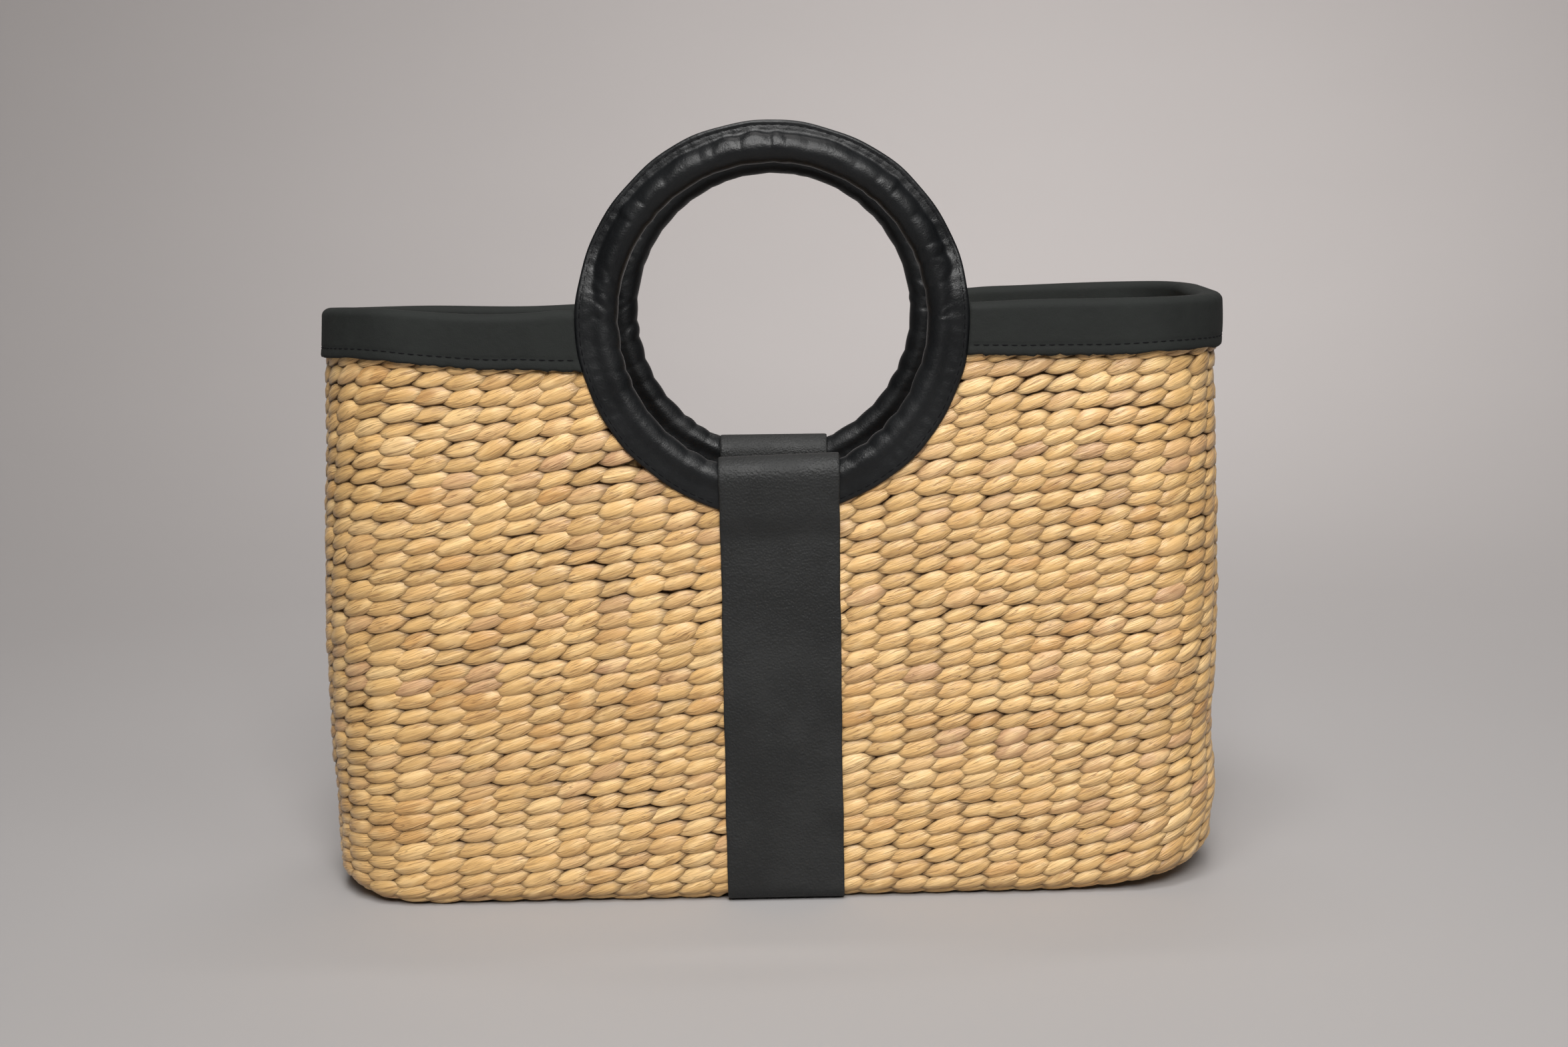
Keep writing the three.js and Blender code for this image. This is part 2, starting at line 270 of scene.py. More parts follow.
def settle(points):
    """How the bag has relaxed: the rim's sag and rise, the lifted lower corners, and the left end that
    bellies out. It is zero round the rings and the strap, which hold their places."""
    x, y, height = (points[..., k].copy() for k in range(3))
    to_back = smooth(y, -HALF_DEPTH * 0.8, HALF_DEPTH * 0.8)
    rise = soft_line(x, RIM_FRONT) * (1 - to_back) + soft_line(x, RIM_BACK) * to_back
    lift = soft_line(x, CORNER_LIFT) * (1 - smooth(height, 0, 95))
    z = height + rise * smooth(height, 90, 255) + lift
    belly = smooth(np.abs(x), 90, 130) * np.sin(math.pi * np.clip(height / RIM_HEIGHT, 0, 1))
    x += soft_line(height, LEFT_END) * smooth(-x, 95, 185)
    x += soft_line(height, RIGHT_END) * smooth(x, 110, 190)
    slack = waves(x / 200, [3, 7], [0.9, 0.5], SLACK_SEED)
    y += np.sign(y) * smooth(np.abs(y), 20, 50) * belly * slack
    return np.stack([x, y, z], -1)


def plan_place(u):
    """Corner centre and outward direction of the plan at the distance u round it."""
    u = np.mod(u, GIRTH)
    angle = np.interp(u, PLAN_LENGTH, PLAN_ANGLE)
    centre = np.stack([np.interp(u, PLAN_LENGTH, PLAN_X), np.interp(u, PLAN_LENGTH, PLAN_Y)], -1)
    return centre, np.stack([np.cos(angle), np.sin(angle)], -1)


def strap_room(x, v):
    """How far out the weave may reach: least where the strap presses on it under the base, little under the
    strap, the bindings and the flanges, and most where it is free."""
    climb = np.clip(v / STRAP_PRESSES_TO, 0, 1) ** 1.2
    pressed = HALF_WALL - (STRAP_THICKNESS + STRAP_GAP) * (1 - climb)
    height = v + EDGE_RADIUS - TURN_LENGTH
    to_ring = np.hypot(x, height - RING_HEIGHT)
    covered = ((np.abs(x) < STRAP_HALF - 1) | (height > BINDING_BOTTOM + 2)
               | (to_ring < FLANGE_RADIUS - 2))
    free = HALF_WALL + np.where(covered, SWELL_COVERED, SWELL_FREE) * climb
    return np.where((np.abs(x) < STRAP_HALF + 0.8) & (climb < 1), pressed, free)


def basket_point(u, v, depth):
    """Point of the basket's wall: u runs round the plan, v runs up from the edge of the flat base, first
    round a quarter turn and then straight up, and depth is the distance outwards from the wall's middle."""
    centre, out = plan_place(u)
    depth = np.minimum(depth, strap_room(centre[..., 0], v))
    turn = np.clip(v / EDGE_RADIUS, 0, QUARTER)
    radius = EDGE_RADIUS - HALF_WALL + depth
    inset = EDGE_RADIUS - radius * np.sin(turn) - np.minimum(v, 0)
    height = EDGE_RADIUS - radius * np.cos(turn) + np.maximum(v - TURN_LENGTH, 0)
    reach = (CORNER_RADIUS - inset)[..., None]
    return np.concatenate([centre + reach * out, height[..., None]], -1)


def past_base(u, v):
    """How far a point of the flat base is from the centre of its nearest corner, to the side and to the
    front, or zero where it is between two corners."""
    return np.maximum(np.abs(u) - END_X, 0), np.maximum(np.abs(v) - END_Y, 0)


def base_point(u, v, depth):
    """Point of the flat base: u runs to the right, v to the front, and depth downwards from its middle.
    What would reach past the rounded edge of the base is drawn in to it."""
    side, front = past_base(u, v)
    pull = 1 - np.minimum(1, BASE_REACH / np.maximum(np.hypot(side, front), 1e-9))
    u = u - np.sign(u) * side * pull
    v = v - np.sign(v) * front * pull
    depth = np.minimum(depth, strap_room(u, np.zeros_like(v)))
    return np.stack([u, -v, HALF_WALL - depth], -1)


def grid_faces(rows, columns, wrap_rows=False, wrap_columns=False):
    """Four-sided faces of a grid of points numbered row after row."""
    row, column = np.meshgrid(np.arange(rows if wrap_rows else rows - 1),
                              np.arange(columns if wrap_columns else columns - 1), indexing="ij")
    next_row, next_column = (row + 1) % rows, (column + 1) % columns
    corners = [row * columns + column, row * columns + next_column,
               next_row * columns + next_column, next_row * columns + column]
    return np.stack(corners, -1).reshape(-1, 4)


def volume_sign(points, faces):
    """Sign of the volume that the faces close in, from the tetrahedra that they make with the origin."""
    total = 0.0
    for face in faces:
        for k in range(1, face.shape[1] - 1):
            a, b, c = points[face[:, 0]], points[face[:, k]], points[face[:, k + 1]]
            total += np.einsum("ij,ij->", a, np.cross(b, c))
    return 1 if total > 0 else -1


def add_piece(name, points, faces, finish, nodes=(), fibre=None, strand=None):
    """A closed mesh of the object, with its faces turned outwards. points are in millimetres, faces is a
    list of arrays of corners. fibre is a UV for each point and strand four numbers for each point."""
    if volume_sign(points, faces) < 0:
        faces = [face[:, ::-1] for face in faces]
    mesh = bpy.data.meshes.new(name)
    corners = np.concatenate([face.ravel() for face in faces])
    sizes = np.concatenate([np.full(len(face), face.shape[1]) for face in faces])
    mesh.vertices.add(len(points))
    mesh.vertices.foreach_set("co", (points / MM).astype(np.float32).ravel())
    mesh.loops.add(len(corners))
    mesh.loops.foreach_set("vertex_index", corners.astype(np.int32))
    mesh.polygons.add(len(sizes))
    starts = np.concatenate([[0], np.cumsum(sizes)[:-1]])
    mesh.polygons.foreach_set("loop_start", starts.astype(np.int32))
    mesh.update(calc_edges=True)
    if fibre is not None:
        layer = mesh.uv_layers.new(name="fibre")
        layer.data.foreach_set("uv", fibre[corners].astype(np.float32).ravel())
    if strand is not None:
        attribute = mesh.attributes.new("strand", "FLOAT_COLOR", "POINT")
        attribute.data.foreach_set("color", strand.astype(np.float32).ravel())
    mesh.shade_smooth()
    mesh.materials.append(finish)
    piece = bpy.data.objects.new(name, mesh)
    bpy.context.scene.collection.objects.link(piece)
    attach(piece, "root")
    if nodes:
        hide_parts(*nodes)


def edge_rounding(from_edge):
    """How much a cut edge of leather is rounded off at a distance from it."""
    return 0.45 * np.exp(-from_edge / 0.35)


def leather_shell(grids, closed):
    """A strip of leather between two grids of points of the same size, its outer and its inner face, with
    its long edges closed. Its rows either come back to the first or end in closed edges."""
    top, under = grids
    rows, columns = top.shape[:2]
    offset = rows * columns
    upper = grid_faces(rows, columns, closed)
    faces = [upper, upper[:, ::-1] + offset]

    def close(here, following, turned):
        """Close the edge that runs through two lines of points."""
        edge = np.stack([here, following, following + offset, here + offset], -1)
        faces.append(edge[:, ::-1] if turned else edge)

    row = np.arange(rows if closed else rows - 1)
    for column, turned in ((0, False), (columns - 1, True)):
        close(row * columns + column, (row + 1) % rows * columns + column, turned)
    if not closed:
        column = np.arange(columns - 1)
        for first, turned in ((0, True), ((rows - 1) * columns, False)):
            close(first + column, first + column + 1, turned)
    return np.concatenate([top.reshape(-1, 3), under.reshape(-1, 3)]), faces


def stitch_faces(count, along, around):
    """Faces of count stitches: rings of points joined by four-sided faces, and a fan to each tip."""
    each = along * around + 2
    body = grid_faces(along, around, wrap_columns=True)
    k = np.arange(around)
    following = (k + 1) % around
    first_tip, last_tip = along * around, along * around + 1
    last = (along - 1) * around
    tips = np.concatenate([
        np.stack([np.full(around, first_tip), following, k], -1),
        np.stack([np.full(around, last_tip), last + k, last + following], -1)])
    start = (np.arange(count) * each)[:, None, None]
    return [(body[None] + start).reshape(-1, 4), (tips[None] + start).reshape(-1, 3)]


def stitches(place, u, v, form, side, mesh_points):
    """Closed stitches of twining. A stitch comes out of the weave at the lower left, is furthest out over
    its stake and goes in at the upper right, where the next one lies beside it. With s from -1 to 1 along
    it, its middle line stands out by its lift + bulge (1 - s^2) - lap s. Its width falls to both tips as a
    power of 1 - s^2 above and of 1 - |s|^2.8 below, and its thickness as the root of that. Its hidden half
    is a third as thick, and its lower edge is tilted out over the course below. side is 1 outside and -1
    inside."""
    along, around = mesh_points
    s = np.concatenate([np.repeat(along, len(around)), [-1.0, 1.0]])[None]
    beta = np.concatenate([np.tile(around, len(along)), [0.0, 0.0]])[None]
    column = {key: value[:, None] for key, value in form.items()}
    skewed = np.clip(s + column["skew"] * (1 - s * s), -1, 1)
    fullness = 1 - np.abs(skewed) ** np.where(np.sin(beta) < -0.01, 2.8, 2.0)
    cosine, sine = np.cos(beta), np.sin(beta)
    across = np.sign(sine) * np.abs(sine) ** 0.85 * column["width"] * fullness ** column["taper"]
    across = across * (1 + column["rough"] * np.cos(3 * beta + 5 * s + 40 * column["tone"]))
    fullest = column["thickness"] * np.where(cosine > -0.01, 1, 0.33)
    outward = np.sign(cosine) * np.abs(cosine) ** 0.8 * fullest * np.sqrt(fullness)
    depth = column["lift"] + column["bulge"] * (1 - s * s) - STITCH_LAP * s + outward
    depth = depth - STITCH_TILT * sine * fullness
    rise = side * column["rise"] * s + across
    reach = column["reach"] * s - side * 0.10 * outward
    points = place(u[:, None] + reach, v[:, None] + rise, side * depth)
    fibre = np.stack(np.broadcast_arrays(
        (s + 1) * column["reach"] / FIBRE_UNIT, beta / ROUND - FIBRE_TWIST * s), -1)
    # Tone, hue, a random number, and the depth, which the straw finish turns into painted shade deep between
    # the stitches
    strand = np.stack(np.broadcast_arrays(
        column["tone"], column["hue"], column["own"], np.clip(depth / DEPTH_UNIT, 0, 1)), -1)
    faces = stitch_faces(len(u), len(along), len(around))
    return points.reshape(-1, 3), faces, fibre.reshape(-1, 2), strand.reshape(-1, 4)


def run_noise(count, run, rng):
    """Numbers from 0 to 1 that drift along a strand, with a new value about every run stitches."""
    knots = rng.random(count // run + 3)
    place = np.arange(count) / run
    left = place.astype(int)
    t = smooth(place - left, 0, 1)
    return knots[left] * (1 - t) + knots[left + 1] * t


def stitch_forms(count, weave, rng):
    """Sizes and tones of the stitches in the order in which they are twined. Two strands take turns, and
    each keeps some of its tone, hue and width from stitch to stitch."""
    drifts = np.empty((3, count))
    for strand in range(2):
        for drift, run in zip(drifts, (7, 11, 9)):
            own = drift[strand::2]
            own[:] = run_noise(len(own), run, rng)
    tone, hue, width = drifts
    wide = np.clip(0.91 + 0.16 * width + rng.normal(0, 0.075, count), 0.88, 1.25)
    return {
        "tone": np.clip(0.14 + 0.45 * tone + 0.31 * rng.random(count), 0, 1),
        "hue": np.clip(0.55 * hue + 0.45 * rng.random(count), 0, 1),
        "own": rng.random(count),
        "width": weave.stitch_height * MM / 2 * wide,
        "thickness": 2.2 * (0.96 + 0.08 * rng.random(count)) * wide,
        "lift": 1.30 + 0.3 * (wide - 1),
        "bulge": weave.stitch_bulge * MM * (0.9 + 0.2 * rng.random(count)),
        "reach": weave.stitch_length * MM / 2 * (1 + rng.normal(0, 0.05, count)),
        "rise": weave.stitch_rise * MM * (1 + rng.normal(0, 0.16, count)),
        "skew": rng.normal(0, 0.06, count),
        "taper": 0.98 + 0.20 * rng.random(count),
        "rough": 0.06 * rng.random(count),
    }


def stake_line(weave):
    """Places round the plan with the number of stakes up to each, at the foot of the wall. The stakes are
    further apart on the front beside the strap than elsewhere."""
    places = np.linspace(0, GIRTH, 4001)
    to_front = places - FRONT_MIDDLE
    close = 1 / (1 + 0.10 * bell(to_front + 60, 45) + 0.10 * bell(to_front - 52, 35))
    counted = np.concatenate([[0], np.cumsum((close[1:] + close[:-1]) / 2)])
    counted *= weave.stake_count / counted[-1]
    return places, counted


def twined_wall(weave, seed):
    """Place round and up the wall of each stitch in the order of twining, with its form. Courses widen
    a little towards the rim, rise a little beside the strap, and each starts further round than the last.
    Also says which stitches show beside the flanges, and which are on the front half."""
    rng = np.random.default_rng(seed)
    columns, courses = weave.stake_count, weave.course_count
    course, stake = np.meshgrid(np.arange(courses), np.arange(columns), indexing="ij")
    places, counted = stake_line(weave)

    def stake_place(number):
        """Place round the plan of a stake, whose number need not be whole."""
        return np.interp(np.mod(number, columns), counted, places)

    number = stake + course * weave.stake_lean
    u = stake_place(number)
    level = (course + 0.5) / courses
    v = WALL_LENGTH * (level - COURSE_WIDENING * level * (1 - level))
    hump = HUMP_HEIGHT * bell(u - FRONT_MIDDLE, HUMP_WIDTH)
    v = v + hump * smooth(v, 8, 50) * (1 - smooth(v, 225, 262))
    ripple = RIPPLE_HEIGHT * np.sin(ROUND * u / RIPPLE_LENGTH + course * 0.9)
    v = v + ripple * smooth(v, 8, 30) * (1 - smooth(v, 235, 262))
    form = stitch_forms(u.size, weave, rng)
    gap = np.mod(stake_place(number + 0.5) - stake_place(number - 0.5), GIRTH).ravel()
    form["reach"] = form["reach"] * gap / (GIRTH / columns)
    u = u.ravel() + rng.normal(0, UNEVEN_ROUND, u.size)
    v = v.ravel() + rng.normal(0, UNEVEN_UP, v.size)
    middle = basket_point(u, v, np.zeros_like(u))
    to_ring = np.hypot(middle[:, 0], middle[:, 2] - RING_HEIGHT)
    on_side = np.abs(middle[:, 1]) > HALF_DEPTH - 2 * HALF_WALL - 6
    shown = ~on_side | (to_ring > FLANGE_RADIUS - UNDER_FLANGE)
    return (u, v, form), shown, middle[:, 1] < 0


class Signal:
    """A number that changes over a surface. Arithmetic on it adds Math nodes to its finish."""

    def __init__(self, finish, socket):
        self.finish = finish
        self.socket = socket

    def math(self, operation, *terms):
        """The result of a Math node with these terms."""
        node = self.finish.node("ShaderNodeMath", {"operation": operation}, dict(enumerate(terms)))
        return Signal(self.finish, node.outputs[0])

    def __add__(self, other):
        return self.math("ADD", self, other)

    def __sub__(self, other):
        return self.math("SUBTRACT", self, other)

    def __rsub__(self, other):
        return self.math("SUBTRACT", other, self)

    def __mul__(self, other):
        return self.math("MULTIPLY", self, other)

    __radd__ = __add__
    __rmul__ = __mul__

    def size(self):
        """The number without its sign."""
        return self.math("ABSOLUTE", self)

    def between(self, low, high):
        """Soft step from 0 at low to 1 at high."""
        node = self.finish.node("ShaderNodeMapRange", {"interpolation_type": "SMOOTHSTEP"},
                                {"Value": self, "From Min": low, "From Max": high})
        return Signal(self.finish, node.outputs[0])


class Finish:
    """The node tree of one material. Each method adds what it names."""

    def __init__(self, name):
        self.material = bpy.data.materials.new(name)
        self.material.use_nodes = True
        self.tree = self.material.node_tree
        self.tree.nodes.clear()

    def node(self, kind, settings=None, inputs=None):
        """A node with its settings, and with a value or a link for each named input."""
        node = self.tree.nodes.new(kind)
        for key, value in (settings or {}).items():
            setattr(node, key, value)
        for key, value in (inputs or {}).items():
            value = value.socket if isinstance(value, Signal) else value
            if isinstance(value, bpy.types.NodeSocket):
                self.tree.links.new(value, node.inputs[key])
            else:
                node.inputs[key].default_value = value
        return node

    def vector(self, operation, a, b):
        """The result of a Vector Math node with these two terms."""
        return self.node("ShaderNodeVectorMath", {"operation": operation}, {0: a, 1: b}).outputs[0]

    def mix(self, factor, a, b):
        """Colour a where the factor is 0, and colour b where it is 1."""
        return self.node("ShaderNodeMix", {"data_type": "RGBA"}, {0: factor, 6: a, 7: b}).outputs[2]

    def ramp(self, factor, stops):
        """Colour that runs through the stops, which are (place, colour) pairs."""
        node = self.node("ShaderNodeValToRGB", None, {0: factor})
        elements = node.color_ramp.elements
        while len(elements) < len(stops):
            elements.new(0.5)
        for element, (place, colour) in zip(elements, stops):
            element.position = place
            element.color = colour
        return node.outputs[0]

    def place(self):
        """Place on the object."""
        return self.node("ShaderNodeTexCoord").outputs["Object"]

    def noise(self, where, scale, detail, roughness=0.5):
        """Cloudy noise from 0 to 1."""
        node = self.node("ShaderNodeTexNoise", None,
                         {"Vector": where, "Scale": scale, "Detail": detail, "Roughness": roughness})
        return Signal(self, node.outputs[0])

    def cells(self, where, scale):
        """Soft-edged cells, as the distance from their centres."""
        node = self.node("ShaderNodeTexVoronoi", {"feature": "SMOOTH_F1"}, {"Vector": where, "Scale": scale})
        return Signal(self, node.outputs["Distance"])

    def bump(self, height, strength, distance, under=None):
        """Relief of a height, on top of the relief under it."""
        inputs = {"Height": height, "Strength": strength, "Distance": distance}
        if under is not None:
            inputs["Normal"] = under
        return self.node("ShaderNodeBump", None, inputs).outputs[0]

    def surface(self, colour, rough, specular, relief=None):
        """The material, with its shader."""
        inputs = {"Base Color": colour, "Roughness": rough, "Specular IOR Level": specular}
        if relief is not None:
            inputs["Normal"] = relief
        shader = self.node("ShaderNodeBsdfPrincipled", None, inputs)
        self.node("ShaderNodeOutputMaterial", None, {"Surface": shader.outputs[0]})
        return self.material


def shade(colour, factor):
    """A colour made brighter or darker, with an alpha of 1."""
    return tuple(min(1.0, channel * factor) for channel in colour) + (1.0,)


def straw_finish(name, weave, painted_shade_scale):
    """Dried stems: a tone for each stitch and fine fibres along it, with a painted sheen, and painted shade
    on the edges and tips of each stitch and deep between the stitches. The last argument darkens every
    colour: painted shade inside the bag and over the base.
    """
    finish = Finish(name)
    strand = finish.node("ShaderNodeAttribute", {"attribute_name": "strand"})
    parts = finish.node("ShaderNodeSeparateColor", None, {0: strand.outputs["Color"]})
    tone, hue, own = (Signal(finish, output) for output in parts.outputs)
    depth = Signal(finish, strand.outputs["Alpha"])
    uv = finish.node("ShaderNodeUVMap", {"uv_map": "fibre"}).outputs[0]
    split_uv = finish.node("ShaderNodeSeparateXYZ", None, {0: uv})
    along, round_it = (Signal(finish, split_uv.outputs[k]) for k in range(2))
    offset = finish.vector("MULTIPLY", strand.outputs["Color"], (37.0, 53.0, 29.0))

    def streaks(lengthwise, crosswise, detail, roughness=0.5):
        """Noise drawn out along the stitch, and different on each stitch."""
        drawn_out = finish.vector("MULTIPLY", uv, (lengthwise, crosswise, 0.0))
        return finish.noise(finish.vector("ADD", drawn_out, offset), 1.0, detail, roughness)

    broad = streaks(1.1, 13.0, 3.0)
    fine = streaks(1.2, 34.0, 3.0, 0.6)
    cracks = (streaks(0.55, 13.0, 2.0) - 0.5).size().between(0.024, 0.004)
    # Noise for a painted sheen: pale patches along each stitch that stand in for a highlight
    painted_sheen = streaks(1.7, 4.5, 1.0)
    blotch = finish.noise(finish.place(), 120.0, 3.0, 0.6)
    s = along * (2 * FIBRE_UNIT / (weave.stitch_length * MM)) - 1.0
    # How far round a stitch from its outermost line, for the painted shade along its upper and lower edges
    from_crest = (round_it + s * FIBRE_TWIST).size()
    straw, pale = weave.straw_colour, weave.pale_and_sheen_colour
    brown_and_shade, fibre = weave.brown_and_shade_colour, weave.fibre_and_shade_colour
    base = finish.ramp(tone, [
        (0.0, shade(brown_and_shade, painted_shade_scale)), (0.30, shade(straw, 0.84 * painted_shade_scale)),
        (0.58, shade(straw, painted_shade_scale)), (1.0, shade(pale, painted_shade_scale))])
    for factor, colour, bright in (
            (hue.between(0.60, 0.95) * 0.70, weave.pink_colour, 1.0),
            (hue.between(0.40, 0.05) * 0.65, weave.orange_colour, 1.0),
            # Painted sheen: pale patches that stand in for a highlight
            (painted_sheen.between(0.48, 0.72) * 0.45, pale, 1.12),
            (fine.between(0.50, 0.30) * 0.42 + broad.between(0.46, 0.24) * 0.28, fibre, 1.0),
            (fine.between(0.54, 0.76) * 0.50, pale, 1.15),
            (cracks * (0.28 + 0.42 * own), fibre, 1.1),
            (blotch.between(0.60, 0.78) * own.between(0.5, 0.9) * 0.40, brown_and_shade, 0.8),
            # Painted shade: browner towards the upper and lower edges of each stitch, and a dark line along
            # them
            (from_crest.between(0.04, 0.19) * 0.40, brown_and_shade, 0.85),
            (from_crest.between(0.13, 0.20) * 0.92, brown_and_shade, 0.16),
            # Painted shade: darker towards both tips, where a stitch turns in under its neighbours
            (s.size().between(0.50, 0.95) * 0.62, brown_and_shade, 0.50),
            # Painted shade: darkest where the surface lies deep in the weave, between the stitches
            (depth.between(0.76, 0.42) * 0.92, fibre, 0.36)):
        base = finish.mix(factor, base, shade(colour, bright * painted_shade_scale))
    relief = finish.bump(fine, 0.65, 0.0006)
    relief = finish.bump(broad, 0.50, 0.0010, relief)
    relief = finish.bump(1.0 - cracks, 0.40, 0.0003, relief)
    return finish.surface(base, 0.24 + 0.24 * broad, 0.5, relief)


def leather_finish(name, colour, rough, specular, grain_size, grain_depth, crease_depth, dust):
    """Dyed leather: pebbled grain, soft creases, and a little dust that dulls it."""
    finish = Finish(name)
    where = finish.place()
    grain = finish.cells(where, 1.0 / grain_size)
    pores = finish.noise(where, 2.2 / grain_size, 3.0, 0.65)
    creases = finish.noise(where, 170.0, 4.0, 0.55)
    worn = finish.noise(where, 38.0, 4.0, 0.6)
    base = finish.mix(worn.between(0.35, 0.75), shade(colour, 0.86), shade(colour, 1.18))
    base = finish.mix(pores.between(0.62, 0.80) * dust, base, shade(colour, 3.2))
    relief = finish.bump(grain, 0.9, grain_depth)
    relief = finish.bump(pores, 0.6, grain_depth * 0.5, relief)
    relief = finish.bump(creases, 0.7, crease_depth, relief)
    return finish.surface(base, rough + 0.16 * worn.between(0.3, 0.7) - 0.05, specular, relief)


def ring_leather_finish(leather):
    """Smooth, satin leather of the sleeves."""
    return leather_finish("ring_leather", leather.ring_colour, rough=0.39, specular=0.32, grain_size=0.0007,
                          grain_depth=0.00006, crease_depth=0.0005, dust=0.15)


def binding_leather_finish(leather):
    """Matte leather of the bindings."""
    return leather_finish("binding_leather", leather.binding_colour, rough=0.78, specular=0.22,
                          grain_size=0.0005, grain_depth=0.00005, crease_depth=0.0005, dust=0.30)


def strap_leather_finish(leather):
    """Matte leather of the strap, with a clear grain."""
    return leather_finish("strap_leather", leather.strap_colour, rough=0.50, specular=0.28,
                          grain_size=0.0009, grain_depth=0.00026, crease_depth=0.0002, dust=0.25)


def thread_finish(leather):
    """Waxed sewing thread: two plies that wind round it."""
    finish = Finish("thread")
    ply = finish.noise(finish.place(), 2600.0, 2.0)
    base = finish.mix(ply, shade(leather.thread_colour, 0.7), shade(leather.thread_colour, 1.6))
    return finish.surface(base, 0.85, 0.15, finish.bump(ply, 0.5, 0.0001))


def stake_finish(weave):
    """Stems of the stakes, with fibres that run up them."""
    finish = Finish("stakes")
    upright = finish.vector("MULTIPLY", finish.place(), (1.0, 1.0, 0.08))
    fibre = finish.noise(upright, 1500.0, 3.0, 0.6)
    dark, pale = shade(weave.fibre_and_shade_colour, 0.70), shade(weave.straw_colour, 0.70)
    base = finish.mix(fibre.between(0.3, 0.7), dark, pale)
    return finish.surface(base, 0.8, 0.5, finish.bump(fibre, 0.5, 0.0003))


def cane_finish(weave):
    """Peeled cane of the hoops."""
    finish = Finish("cane")
    grain = finish.noise(finish.vector("MULTIPLY", finish.place(), (1.0, 6.0, 1.0)), 300.0, 3.0)
    base = finish.mix(grain, shade(weave.straw_colour, 0.6), shade(weave.straw_colour, 0.9))
    return finish.surface(base, 0.5, 0.5, finish.bump(grain, 0.4, 0.0004))


def paper_finish(stage):
    """Paper of the backdrop, not quite even."""
    finish = Finish("paper")
    fleck = finish.noise(finish.place(), 3.0, 2.0)
    base = finish.mix(fleck, shade(stage.backdrop_colour, 0.98), shade(stage.backdrop_colour, 1.02))
    return finish.surface(base, 0.9, 0.2)


def colour_setting(name, description, default):
    """A colour that the user can change."""
    return bpy.props.FloatVectorProperty(name=name, description=description, subtype="COLOR", default=default)


def length_setting(name, description, default):
    """A length in metres that the user can change."""
    return bpy.props.FloatProperty(name=name, description=description, unit="LENGTH", default=default)


def power_setting(name, description, default):
    """A lamp's power that the user can change."""
    return bpy.props.FloatProperty(name=name, description=description, unit="POWER", default=default)


class WeaveSettings(bpy.types.PropertyGroup):
    """Sizes and colours of the twined basket."""

    stake_count: bpy.props.IntProperty(
        name="Stakes", description="Upright stakes round the basket, one column of stitches on each",
        default=72, min=20)
    course_count: bpy.props.IntProperty(
        name="Courses", description="Rows of twining from the edge of the base to the rim", default=38, min=5)
    stake_lean: bpy.props.FloatProperty(
        name="Lean", description="How far each course is shifted round, in stakes", default=0.037)
    stitch_length: length_setting("Stitch length", "Tip to tip", 0.0222)
    stitch_height: length_setting("Stitch height", "Across the middle of a stitch", 0.0091)
    stitch_rise: length_setting("Stitch rise", "Height of the tips above and below the middle", 0.0026)
    stitch_bulge: length_setting(
        "Stitch bulge", "How far a stitch's middle stands out past its tips", 0.0008)
    straw_colour: colour_setting("Straw", "Most of the stems", (0.80, 0.50, 0.20))
    # Also the colour of the painted sheen on the stitches
    pale_and_sheen_colour: colour_setting("Pale straw", "The palest stems", (0.90, 0.64, 0.32))
    # Also the colour of the painted shade on the edges and tips of the stitches
    brown_and_shade_colour: colour_setting("Brown straw", "The darkest stems", (0.43, 0.255, 0.115))
    pink_colour: colour_setting("Pinkish straw", "Stems that dried pinkish", (0.62, 0.36, 0.21))
    orange_colour: colour_setting("Orange straw", "Stems that dried orange-brown", (0.60, 0.31, 0.105))
    # Also the colour of the painted shade deep between the stitches
    fibre_and_shade_colour: colour_setting("Dark fibres", "Thin fibres and gaps", (0.24, 0.115, 0.042))


class LeatherSettings(bpy.types.PropertyGroup):
    """Sizes and colours of the leather parts and their threads."""

    ring_colour: colour_setting("Ring leather", "Sleeves of the ring handles", (0.006, 0.0067, 0.0075))
    binding_colour: colour_setting("Binding leather", "Bindings of the rim", (0.0172, 0.0192, 0.0180))
    strap_colour: colour_setting("Strap leather", "Strap over the middle", (0.0195, 0.0203, 0.0203))
    thread_colour: colour_setting("Thread", "Sewing thread", (0.005, 0.005, 0.006))
    pucker_count: bpy.props.IntProperty(
        name="Puckers", description="Gathers round each ring", default=40, min=4)
    pucker_depth: length_setting("Pucker depth", "Depth of the creases at the gathers", 0.00030)
    stitch_length: length_setting("Thread stitch", "Length of one stitch of thread", 0.0030)
    stitch_gap: length_setting("Stitch gap", "Between two stitches of thread", 0.0010)
    thread_thickness: length_setting("Thread thickness", "Across the thread", 0.0007)


